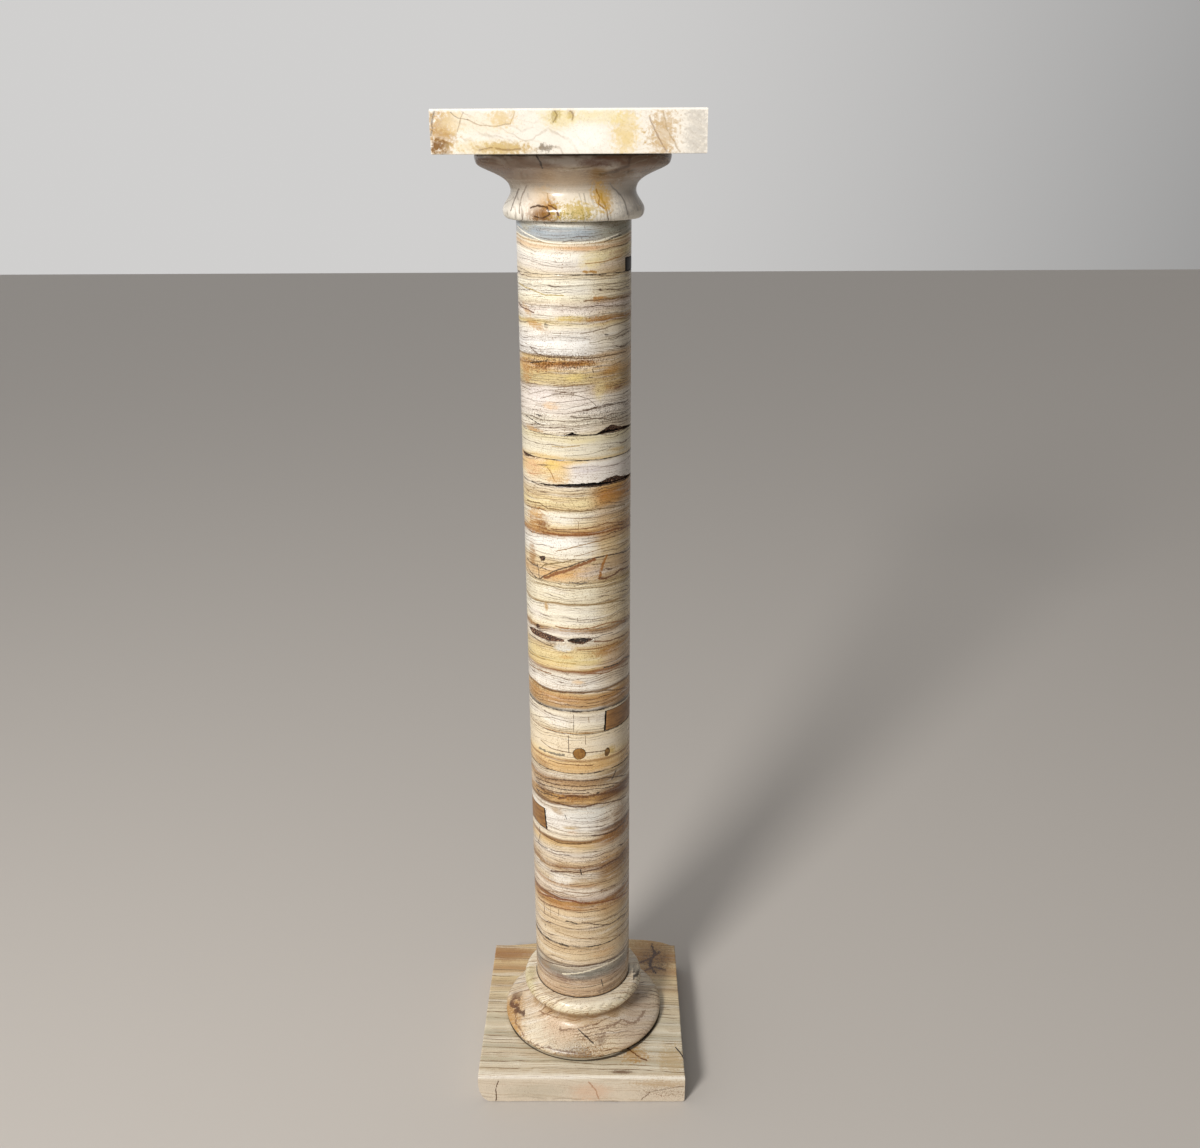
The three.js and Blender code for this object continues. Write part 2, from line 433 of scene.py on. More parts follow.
# A vein's points are pixels; where() turns them into places on the piece
def addVein(tree, colour, place, rag, where, points, tint, width, strength, soft=0.5, broken=1.0):
    spots = [where(pixel) for pixel in points]
    masks = [useGroup(tree, veinGroup, Place=place, From=(*a, 0), To=(*b, 0), Width=width, Soft=soft,
                      Rag=rag, Broken=broken)["Mask"] for a, b in zip(spots, spots[1:])]
    mask = times(tree, strongest(tree, masks), strength)
    return blend(tree, mask, colour, tint)


def addStain(tree, colour, place, rag, where, centre, reach, tint, strength, streak, grit, soft=0.5,
             ragged=0.8, slant=0.0, grains=0.0, streaky=0.7):
    mask = useGroup(tree, stainGroup, Place=place, Centre=(*where(centre), 0), Reach=(*reach, 1),
                    Soft=soft, Rag=rag, Ragged=ragged, Slant=slant)["Mask"]
    mask = times(tree, mask, ease(tree, streak, 0.36, 0.58, 1.0 - streaky, 1.0))
    if grains:
        mask = times(tree, mask, ease(tree, grit, 0.62 - 0.16 * grains, 0.7 - 0.16 * grains))
    return blend(tree, times(tree, mask, strength), colour, tint)


def newMaterial(name):
    material = bpy.data.materials.new(name)
    material.use_nodes = True
    tree = material.node_tree
    tree.nodes.clear()
    out = tree.nodes.new("ShaderNodeOutputMaterial")
    shader = tree.nodes.new("ShaderNodeBsdfPrincipled")
    tree.links.new(shader.outputs[0], out.inputs[0])
    return material, tree, shader


# The polish: gloss that varies a little, fine pits, and crystals that speckle the colour
polish = {"uneven": 0.14, "broken": 0.45, "speck": "#ab8355", "pale": "#fbf7f0", "bump": 0.18,
          "bumpDeep": 0.0008, "bendsLight": 1.52}


def finishStone(tree, shader, colour, point, rough=0.2, pits=0.5, dull=None, crystal=1.0):
    wear = cloud(tree, point, 0.08, 4.0, 0.6)
    gloss = ease(tree, wear, 0.3, 0.75, rough, rough + polish["uneven"])
    if dull is not None:
        gloss = plus(tree, gloss, times(tree, dull, polish["broken"]), clamp=True)
    plug(tree, shader.inputs["Roughness"], gloss)
    crystals = cloud(tree, point, 0.75, 4.0, 0.75)
    gathered = ease(tree, cloud(tree, point, 0.035, 3.0, 0.6), 0.38, 0.62, 0.35 * crystal, 0.95 * crystal)
    specks = times(tree, ease(tree, crystals, 0.53, 0.66), gathered)
    colour = blend(tree, specks, colour, polish["speck"], "MULTIPLY")
    colour = blend(tree, ease(tree, crystals, 0.45, 0.25, 0.0, 0.3 * crystal), colour, polish["pale"])
    plug(tree, shader.inputs["Base Color"], colour)
    shader.inputs["IOR"].default_value = polish["bendsLight"]
    grain = cloud(tree, point, 0.9, 3.0, 0.7)
    slow = cloud(tree, point, 0.03, 2.0, 0.5)
    bump = tree.nodes.new("ShaderNodeBump")
    bump.inputs["Strength"].default_value = polish["bump"]
    bump.inputs["Distance"].default_value = polish["bumpDeep"]
    plug(tree, bump.inputs["Height"], calc(tree, "MULTIPLY_ADD", ease(tree, grain, 0.2, 0.45), pits, slow))
    plug(tree, shader.inputs["Normal"], bump.outputs[0])


# The lamination painted over the bands
def addLayers(tree, colour, point, height, recipe):
    layers = useGroup(tree, layersGroup, Point=point, Height=height, Spacing=recipe["spacing"],
                      Run=recipe.get("run", 60.0), Swirl=recipe.get("swirl", 6.0))
    lines = recipe["lines"]
    darkLine = recipe.get("darkLine", "#8f6a40")
    toned = times(tree, ease(tree, layers["Tone"], 0.3, 1.0), lines * recipe.get("toned", 0.5))
    colour = blend(tree, toned, colour, recipe.get("toneLine", darkLine))
    colour = blend(tree, times(tree, layers["Light"], lines * 0.9, clamp=True), colour,
                   recipe.get("lightLine", "white"))
    colour = blend(tree, times(tree, layers["Fine"], min(lines * 1.5, 1.0)), colour, darkLine)
    colour = blend(tree, times(tree, layers["Dark"], min(lines * 2.6, 1.0)), colour,
                   recipe.get("deepLine", "#613a16"))
    return colour, layers["Streak"]


# Paints a list of stains or veins one after the other; face is a mask that keeps them to one face
def addMarks(tree, colour, marks, add, place, rag, where, face=None, strength=0.9, **shared):
    for mark in marks:
        settings = {"strength": strength, **mark, **shared}
        if face is not None:
            settings["strength"] = times(tree, face, settings["strength"])
        colour = add(tree, colour, place, rag, where, **settings)
    return colour


# One drum's stone; the comment above drumRecipes says what a recipe's entries are
def drumStone(name, low, high, recipe):
    material, tree, shader = newMaterial(name)
    spot = useGroup(tree, roundPlace, Radius=shaftRadius)
    bent = useGroup(tree, wander, Place=spot["Place"], Point=spot["Point"], Slow=recipe["slow"],
                    Quick=recipe["quick"], Sag=recipe.get("sag", 0.0), Tilt=recipe.get("tilt", 0.0))
    across, height, spare = splitXYZ(tree, bent["Place"])
    colour = bandRamp(tree, height, low, high, recipe["bands"])
    if "rightBands" in recipe:
        side = ease(tree, across, recipe["sideFrom"], recipe["sideTo"])
        side = times(tree, side, ease(tree, across, rightFadesTo, rightFadesFrom))
        colour = blend(tree, side, colour, bandRamp(tree, height, low, high, recipe["rightBands"]))
    colour, streak = addLayers(tree, colour, spot["Point"], height, recipe)
    place, rag = bent["Place"], bent["Rag"]

    def where(pixel):
        return onRound(pixel, shaftRadius)

    grit = cloud(tree, spot["Point"], 0.75, 3.0, 0.7)
    colour = addMarks(tree, colour, recipe["stains"], addStain, place, rag, where, streak=streak, grit=grit)
    colour = addMarks(tree, colour, recipe["veins"], addVein, place, rag, where)
    colour = addMarks(tree, colour, recipe.get("cracks", []), addVein, spot["Place"], rag, where)
    joint = jointLine(tree, spot["Place"], rag, low, high, recipe)
    colour = blend(tree, joint, colour, glueColour)
    # broken stone in chips and voids, black in their deepest parts as painted shade
    broken = useGroup(tree, brokenAndShadeGroup, Inside=spot["Inside"], Point=spot["Point"])
    colour = blend(tree, broken["Mask"], colour, broken["Colour"])
    finishStone(tree, shader, colour, spot["Point"], dull=broken["Mask"])
    return material


# The dark glue that shows at a drum's two ends; each is (width in mm at the left, at the right)
glueColour = "#38240f"


def jointLine(tree, place, rag, low, high, recipe):
    across, height, spare = splitXYZ(tree, place)
    side = ease(tree, calc(tree, "SINE", over(tree, across, shaftRadius)), -0.8, 0.8)
    masks = []
    for end, gap in ((low, recipe["lowGlue"]), (high, recipe["highGlue"])):
        away = calc(tree, "ABSOLUTE", minus(tree, height, end))
        width = ease(tree, side, 0.0, 1.0, gap[0], gap[1])
        width = times(tree, width, ease(tree, rag, 0.3, 0.7, 0.35, 1.2))
        masks.append(ease(tree, away, times(tree, width, 1.3), times(tree, width, 0.4)))
    comes = ease(tree, cloud(tree, place, 0.07, 3.0, 0.6), 0.36, 0.56, 0.3, 0.95)
    return times(tree, strongest(tree, masks), comes)


# A stain is an oval: centre is the pixel of its middle, reach is half its width and height in mm.
# ragged frays its edge, slant tips it and grains leaves only that share of it, in specks.
def stain(centre, reach, tint, strength=0.9, **more):
    return {"centre": centre, "reach": reach, "tint": tint, "strength": strength, **more}


# A vein runs through points, which are pixels; broken makes its width uneven and soft blurs its edge
def vein(points, tint, width, **more):
    return {"points": points, "tint": tint, "width": width, **more}


# Drum recipes, from the foot of the shaft up. bands: (height in mm, colour) stops up the drum;
# rightBands take over to the right of sideFrom..sideTo mm, and fade again behind. slow, quick, sag
# and tilt (mm) bend the bands; spacing (mm) and lines set the fine layers, lowGlue and highGlue the
# joints. Stains and veins bend with the bands, cracks stay straight.
rightFadesFrom = 100.0
rightFadesTo = 160.0
drumRecipes = {}
drumRecipes["shaft_drum_01"] = {
    "bands": {96: "#c9ab8c", 100: "#dcc2a6", 105: "#cfb294", 110: "#e0c8ac", 114: "#c9ad92", 118: "#dcc4aa",
              122: "#b3a090", 129: "#a39a8c", 134: "#b8ae9e", 138: "#e6dac6", 142: "#8f785e",
              144: "#e4ceb0", 152: "#e8d3b2", 160: "#e4cba8", 168: "#dcc09a"},
    "slow": 2.5, "quick": 1.0, "tilt": 1.0, "spacing": 3.5, "lines": 0.4, "darkLine": "#94704a",
    "highGlue": (2.3, 1.2), "lowGlue": (0.9, 0.9),
    "stains": [
        stain(centre=(604, 953), reach=(16, 6), tint="#dcb282", strength=0.6),
        stain(centre=(562, 978), reach=(12, 4), tint="#8f6d5c", strength=0.75, ragged=1.4),
        stain(centre=(592, 975), reach=(30, 6), tint="#8f8b80", strength=0.8, slant=0.06),
        stain(centre=(608, 988), reach=(14, 4), tint="umber", strength=0.55, ragged=2.4),
        stain(centre=(545, 962), reach=(9, 7), tint="ochre", strength=0.35),
    ],
    "veins": [
        vein(points=((539, 953.6), (556.8, 963.8), (574.4, 966.6), (588.3, 966), (606.8, 961),
                     (624.3, 950.9)), tint="umber", width=0.8, strength=0.8),
        vein(points=((562, 973.5), (585, 971.8), (608, 963.5), (624, 952.5)), tint="ivory", width=1.0),
        vein(points=((560, 986), (590, 987), (618, 975)), tint="greyBrown", width=0.6),
    ],
    "cracks": [
        vein(points=((601.2, 979.5), (603, 986)), tint="dark", width=0.7),
    ],
}
drumRecipes["shaft_drum_02"] = {
    "bands": {168: "#eedcc2", 180: "#ead6b8", 188: "#dcc4a2", 199: "#ead4b4", 215: "#e6ceac",
              222: "#d6ac78", 229: "#cd9a5c", 234: "rust", 237: "#ecd8c0", 247: "#efe1cf", 252: "#caa57e",
              256: "#e9d6b8", 266: "#efe5d6", 271: "#d9bb92", 275: "#a87b50", 280: "#e4cba8",
              292: "#f0e6d8", 300: "#e9d2ad", 306: "#e2bf8c", 310: "#9a6a35", 313: "#efe0c6",
              326: "#f2ebe0", 342: "#f3efe8", 354: "#e6d8c4", 357: "#8a6238", 361: "#e2bc88",
              368: "#d0a263", 374: "#e9d6bb", 382: "#cdab82", 388: "#b6916a", 392: "#e6d8c2",
              397.5: "#dccbb0"},
    "rightBands": {168: "#e4cca8", 185: "#dfc6a0", 199: "#e0c9a4", 222: "#d3a874", 230: "#b67f41",
                   236: "#ecd8c0", 248: "#d9bf9a", 262: "#c7a171", 275: "#a67a4d", 284: "#d5b285",
                   296: "#ecdcc4", 305: "#bd8c50", 318: "#b07c40", 323: "#7a512c", 327: "#ecdfcc",
                   345: "#ede0cd", 356: "#d9c1a0", 362: "#a97c48", 371: "#94652f", 377: "#d9c2a0",
                   386: "#a3835f", 392: "#cdb592", 397.5: "#d3ba94"},
    "sideFrom": 10, "sideTo": 34, "slow": 3.5, "quick": 1.3, "tilt": 0.5, "spacing": 3.2, "lines": 0.5,
    "darkLine": "#8a6034", "highGlue": (0.6, 0.8), "lowGlue": (2.3, 1.2),
    "stains": [
        stain(centre=(572, 797), reach=(14, 4.5), tint="#a9722c", ragged=1.8),
        stain(centre=(618, 788), reach=(15, 4), tint="#6d4423", strength=0.8, ragged=1.6),
        stain(centre=(543, 788), reach=(16, 15), tint="#6d5138", strength=0.8, grains=0.9),
        stain(centre=(585, 790), reach=(46, 12), tint="#5e4330", strength=0.7, grains=0.5),
        stain(centre=(612, 782), reach=(14, 8), tint="#f6efe4", strength=0.7, grains=0.6),
        stain(centre=(585, 866), reach=(48, 9), tint="#8a5c34", strength=0.7, grains=0.5),
        stain(centre=(600, 896), reach=(36, 6), tint="#b08a78", strength=0.6, grains=0.7),
        stain(centre=(616, 835), reach=(16, 12), tint="#8a5c2c", strength=0.7, grains=0.7),
        stain(centre=(540, 783), reach=(13, 3), tint="#8d6845", ragged=2.4, slant=-0.25),
        stain(centre=(597.5, 792.5), reach=(1.8, 1.5), tint="dark", ragged=0.3),
        stain(centre=(558, 811), reach=(7, 3.5), tint="#b8915a", strength=0.75, slant=-0.2),
        stain(centre=(570, 827.8), reach=(8.5, 2.6), tint="#c4a15a", strength=0.85),
        stain(centre=(573, 833), reach=(6, 2), tint="#eac7a8", strength=0.6),
        stain(centre=(590, 813), reach=(28, 9), tint="coolWhite", strength=0.65),
        stain(centre=(560, 821), reach=(20, 7), tint="#f3ede4", strength=0.6),
        stain(centre=(620, 812), reach=(12, 14), tint="#b98f60", strength=0.5, ragged=1.6),
        stain(centre=(561, 879), reach=(12, 6), tint="#f3ede4", strength=0.85, ragged=1.0),
        stain(centre=(598, 897), reach=(26, 5), tint="#eaddd0", strength=0.6),
        stain(centre=(560, 905), reach=(22, 4), tint="#c98d47", strength=0.6, slant=-0.05),
        stain(centre=(585, 883), reach=(12, 5), tint="#c49a66", strength=0.4, ragged=1.8),
        stain(centre=(548, 858), reach=(12, 7), tint="#e9dcc8", strength=0.5),
    ],
    "veins": [
        vein(points=((553, 800.4), (573.5, 806.4), (583.6, 806.4), (597.5, 802.7), (626, 796)),
             tint="#6b4520", width=0.9),
        vein(points=((534.7, 771), (546.3, 777.4), (563.2, 779.5), (584.2, 780.5), (605.3, 777.4),
                     (626.3, 774.2)), tint="#5e4229", width=0.7, broken=1.6),
        vein(points=((535.8, 776.3), (548.4, 781.6), (567.4, 785.8), (588.4, 785.8), (609.5, 783.7),
                     (626.3, 780.5)), tint="#6d4c2c", width=0.8, broken=1.4),
        vein(points=((535.8, 780.5), (550.5, 785.8), (569.5, 790), (592.6, 788.9), (613.7, 785.8)),
             tint="#4b3423", width=0.6, broken=1.8),
        vein(points=((535.8, 784.7), (550.5, 790), (569.5, 793.2), (588.4, 792.5)), tint="#6b4c30",
             width=0.7, broken=1.8),
        vein(points=((536.8, 788.9), (550.5, 794.2), (563.2, 797.4)), tint="#4b3423", width=0.7,
             broken=1.8),
        vein(points=((559, 798.4), (569.5, 795.3), (584.2, 796.3), (601, 793.2), (626.3, 786.8)),
             tint="#7d4f22", width=1.5, broken=2.0),
        vein(points=((570, 817.5), (593, 817), (612, 810)), tint="#a08c78", width=0.5),
        vein(points=((545, 822), (570, 832.5), (600, 832), (615, 826)), tint="#b09a80", width=0.5),
        vein(points=((592, 836), (606.8, 834), (619.7, 826.8), (625.3, 821)), tint="#5f3d1e", width=1.0),
        vein(points=((543.9, 834), (556.8, 841.6), (572.5, 844.3), (592, 842.5)), tint="#76501f",
             width=0.9),
        vein(points=((540, 860), (556, 866.5), (580, 867.5), (600, 863)), tint="#9f7d5c", width=0.6),
        vein(points=((551, 870), (569.8, 871.6), (580.9, 872.5), (593.8, 870), (611.4, 862),
                     (625.3, 849.9)), tint="#6e4424", width=1.1),
        vein(points=((544.8, 888.9), (569.8, 891.7), (597.5, 891.7), (616, 885.2)), tint="#a68463",
             width=0.6),
        vein(points=((537.4, 888.9), (551.3, 896.7), (569.8, 900.4), (588.3, 903.2), (606.8, 900.9),
                     (620.6, 896.3), (628, 890.7)), tint="#8f4f22", width=1.1),
        vein(points=((538, 896), (555, 906.5), (579, 910.6), (597.5, 909)), tint="#96612c", width=0.7),
        vein(points=((582.7, 922.6), (597.5, 925), (609.5, 924), (620.6, 916.6), (628, 910)),
             tint="#5d4026", width=0.7),
        vein(points=((555, 930.5), (591, 939.8), (606.8, 937.9), (628, 926.8)), tint="#b18b5c", width=0.6),
    ],
    "cracks": [
        vein(points=((616, 770.3), (614, 775), (612, 779)), tint="dark", width=0.9),
        vein(points=((539.2, 826.8), (540.2, 834), (538.3, 842.5), (547.6, 849)), tint="dark", width=0.6),
        vein(points=((565, 815), (566.5, 819)), tint="dark", width=0.6),
        vein(points=((580.5, 869.8), (581.5, 874.5)), tint="dark", width=0.9),
        vein(points=((543.9, 901), (544.6, 912)), tint="#7d4f36", width=0.6),
        vein(points=((550.3, 906), (550.5, 915)), tint="#a08057", width=0.4),
        vein(points=((558.7, 909), (558.7, 915.7)), tint="#8c6b45", width=0.4),
        vein(points=((545, 924), (545.4, 925.2)), tint="dark", width=0.7),
        vein(points=((566, 920.8), (571, 922.2), (577, 923.6)), tint="dark", width=0.9, broken=2.6),
        vein(points=((622.5, 884), (627, 877.8)), tint="dark", width=0.6),
    ],
}
drumRecipes["shaft_drum_03"] = {
    "bands": {397.5: "#e0bb88", 402: "#e9c898", 405: "#dcb47e", 410: "#ecce9e", 413: "#a9773c",
              415: "#efd2a2", 420: "#efdcb8", 424: "#eddcc0", 434: "#f0e2ca", 446: "#eedfc4"},
    "slow": 1.6, "quick": 0.7, "spacing": 3.0, "lines": 0.3, "darkLine": "sand", "lowGlue": (0.8, 1.1),
    "highGlue": (0.35, 0.5),
    "stains": [
        stain(centre=(611.4, 749), reach=(5, 5), tint="#d8b24e", strength=0.75),
        stain(centre=(603, 760), reach=(7, 6), tint="#c58e45", strength=0.5, ragged=2.4),
        stain(centre=(592, 766), reach=(26, 5), tint="#efc78c", strength=0.5),
        stain(centre=(541, 762), reach=(12, 6), tint="#b98e5f", strength=0.5, ragged=1.8),
        stain(centre=(604, 743), reach=(18, 7), tint="#f1e6d4", strength=0.6),
    ],
    "veins": [
        vein(points=((541, 739.7), (553, 748.5), (572.5, 753.2)), tint="#8d6a42", width=0.6),
        vein(points=((585, 752.9), (596, 752), (604.9, 750.2)), tint="#7b5a38", width=0.7),
        vein(points=((539, 747), (552, 752.5), (564, 755.5)), tint="#8f8675", width=1.4, broken=2.0),
        vein(points=((549.4, 760), (569.8, 764.7), (592.9, 765.2)), tint="#93632f", width=0.7),
    ],
    "cracks": [
        vein(points=((568.4, 735.6), (568.8, 752.7)), tint="#4b3322", width=0.45, broken=0.5),
        vein(points=((585.3, 736), (585.5, 744.4)), tint="#8a6a4a", width=0.35),
    ],
}
drumRecipes["shaft_drum_04"] = {
    "bands": {446: "#dcbd8e", 449: "#efdfc2", 456: "#f1e6d0", 463: "#f2e9da", 470: "#efe4d0",
              473.5: "#d9c8ae"},
    "slow": 2.0, "quick": 0.8, "tilt": -1.5, "spacing": 3.0, "lines": 0.35, "lowGlue": (0.35, 0.5),
    "highGlue": (1.2, 1.2),
    "stains": [
        stain(centre=(556, 722), reach=(16, 6), tint="#f5efe6", strength=0.7),
        stain(centre=(586, 733), reach=(8, 1.6), tint="#b98b4d", strength=0.7, ragged=1.6),
    ],
    "veins": [
        vein(points=((531, 714), (552, 718), (573.5, 722.2)), tint="#a99a86", width=0.5),
        vein(points=((552, 724.5), (573.5, 729)), tint="#b3a48e", width=0.45),
        vein(points=((532, 723), (550, 730), (573, 734)), tint="#c9a070", width=0.5),
    ],
    "cracks": [
        vein(points=((573.5, 715), (573.8, 721), (573.4, 732)), tint="#77634e", width=0.45, broken=1.6),
        vein(points=((588.5, 717.5), (589.2, 723)), tint="#a98c66", width=0.4),
    ],
}
drumRecipes["shaft_drum_05"] = {
    "bands": {473.5: "#8a8378", 476: "#a89f92", 478: "#cfae84", 484: "#ddb686", 490: "#d3a875",
              494: "#e9cc9d", 497: "#7c5830", 499: "#f1e8da", 508: "#f4efe6", 516: "#f1e8d8",
              520: "#a87a4a", 523: "#e9cf9c", 533: "#ecd9a8", 541: "#e9d4a4", 548: "#dcc49c",
              552: "#eadfcc", 562: "#efe5d6", 567: "#b98c55", 570: "#f1e3c6", 580: "#f3ecdb",
              594: "#f4eddb", 596: "#b39466", 598: "#f3e9cf", 606: "#f4ecd6", 614: "#f1e7cf",
              615: "#c9b48e", 617: "#f2e6ca", 620: "#dfcba6"},
    "rightBands": {473.5: "#6f6153", 477: "#bf9a70", 484: "#cfa373", 490: "#c99a62", 494: "#e2bc86",
                   498: "#7b5429", 500: "#eadbc6", 515: "#e6d5bd", 519: "#a26c3b", 524: "#dcc0a2",
                   534: "#e0c6a6", 545: "#c99a5c", 550: "#e2c9a4", 560: "#ecdcc6", 567: "#b78a55",
                   571: "#e9d3ae", 582: "#eddcbc", 594: "#ecdab8", 596: "#b18f60", 598: "#ecdab8",
                   612: "#ecdbba", 615: "#b99c70", 617: "#e9d5ae", 620: "#d5b98a"},
    "sideFrom": 12, "sideTo": 40, "slow": 3.0, "quick": 1.1, "spacing": 3.0, "lines": 0.44,
    "darkLine": "#a07c50", "lowGlue": (1.2, 1.0), "highGlue": (0.3, 0.3),
    "stains": [
        stain(centre=(547, 606.5), reach=(2.2, 4.5), tint="#c99a4c", strength=0.75),
        stain(centre=(530, 619), reach=(5, 5), tint="#b98b4b", strength=0.6, ragged=1.8),
        stain(centre=(536, 612), reach=(10, 8), tint="#efe6dd", strength=0.6),
        stain(centre=(566, 658), reach=(7, 2), tint="#d9a24e", strength=0.8),
        stain(centre=(575, 663), reach=(24, 5), tint="#ecd9a0", strength=0.5),
        stain(centre=(580, 654), reach=(46, 9), tint="#a8773c", strength=0.6, grains=0.5),
        stain(centre=(540, 694), reach=(18, 12), tint="#8a6238", strength=0.7, grains=0.7),
        stain(centre=(590, 630), reach=(40, 8), tint="#8f8376", strength=0.6, grains=0.6),
        stain(centre=(604, 652.5), reach=(14, 4), tint="#c28a3c", strength=0.7, ragged=2.0),
        stain(centre=(592, 672.5), reach=(16, 2.6), tint="#b07a4a", strength=0.75),
        stain(centre=(579, 682), reach=(6, 2.2), tint="peach", strength=0.8),
        stain(centre=(535, 688), reach=(9, 9), tint="#c2924f", strength=0.65, ragged=1.8),
        stain(centre=(556, 697), reach=(20, 6), tint="#c8945a", strength=0.45, ragged=2.0),
        stain(centre=(563, 648.5), reach=(10, 3.5), tint="coolWhite", strength=0.8),
        stain(centre=(565, 633), reach=(22, 3.5), tint="#e9e3dc", strength=0.7),
        stain(centre=(545, 636), reach=(12, 5), tint="#6d4a2c", strength=0.75, ragged=2.2, slant=-0.45),
        stain(centre=(583, 641.5), reach=(14, 3.5), tint="#4d3a30", strength=0.5, ragged=1.6),
    ],
    "veins": [
        vein(points=((528, 594.6), (543.9, 602), (556.8, 603.8), (579, 605.7), (606.8, 603), (625, 599)),
             tint="#a58a5e", width=0.6),
        vein(points=((528, 578.9), (549.4, 586.5), (579, 589.5), (597.5, 588), (628, 578)),
             tint="#b3a080", width=0.5),
        vein(points=((555.9, 626.5), (574.4, 630), (588.3, 628.8), (606.8, 623.3), (625.3, 620.5)),
             tint="#a87440", width=0.9),
        vein(points=((560, 630.5), (577, 632.5), (596, 629)), tint="#c39a6c", width=0.5),
        vein(points=((593.8, 641.8), (611.4, 640.4), (628, 631.6)), tint="#8a5a2b", width=0.9),
        vein(points=((577, 650.5), (597, 648.5), (618, 642)), tint="#a5763f", width=0.8),
        vein(points=((530, 650), (548, 660), (575, 664.5)), tint="#c9a65c", width=0.5),
        vein(points=((530, 664), (542, 671), (551, 674)), tint="#a3764a", width=0.7),
        vein(points=((551, 669.5), (580.9, 672.5), (602, 673.5), (616, 669), (628, 664)), tint="#a26e41",
             width=0.6),
        vein(points=((542, 687), (555.9, 691), (579, 692.6), (606.8, 690), (627, 688)), tint="#7a552d",
             width=0.7),
        vein(points=((560, 698), (585, 699), (610, 696), (626, 691)), tint="#a8783f", width=0.5),
        vein(points=((530, 693.5), (540, 705.5), (560.5, 710)), tint="#4f3824", width=1.0),
        vein(points=((560.5, 710), (585, 711.5), (608, 707)), tint="#857d76", width=1.6, broken=1.6),
    ],
    "cracks": [
        vein(points=((604, 667.6), (614.2, 664.8), (618.8, 663), (624.3, 657.4), (630, 654.6)),
             tint="dark", width=0.8, broken=1.6),
        vein(points=((529, 633.4), (535.5, 638), (546.6, 644.5), (553.1, 646.4)), tint="#4a3525",
             width=0.5),
        vein(points=((594, 638.5), (602.5, 634.8), (613, 632.4)), tint="#6f6258", width=0.5),
        vein(points=((577.5, 618), (578, 622)), tint="#8d7a64", width=0.4),
    ],
}
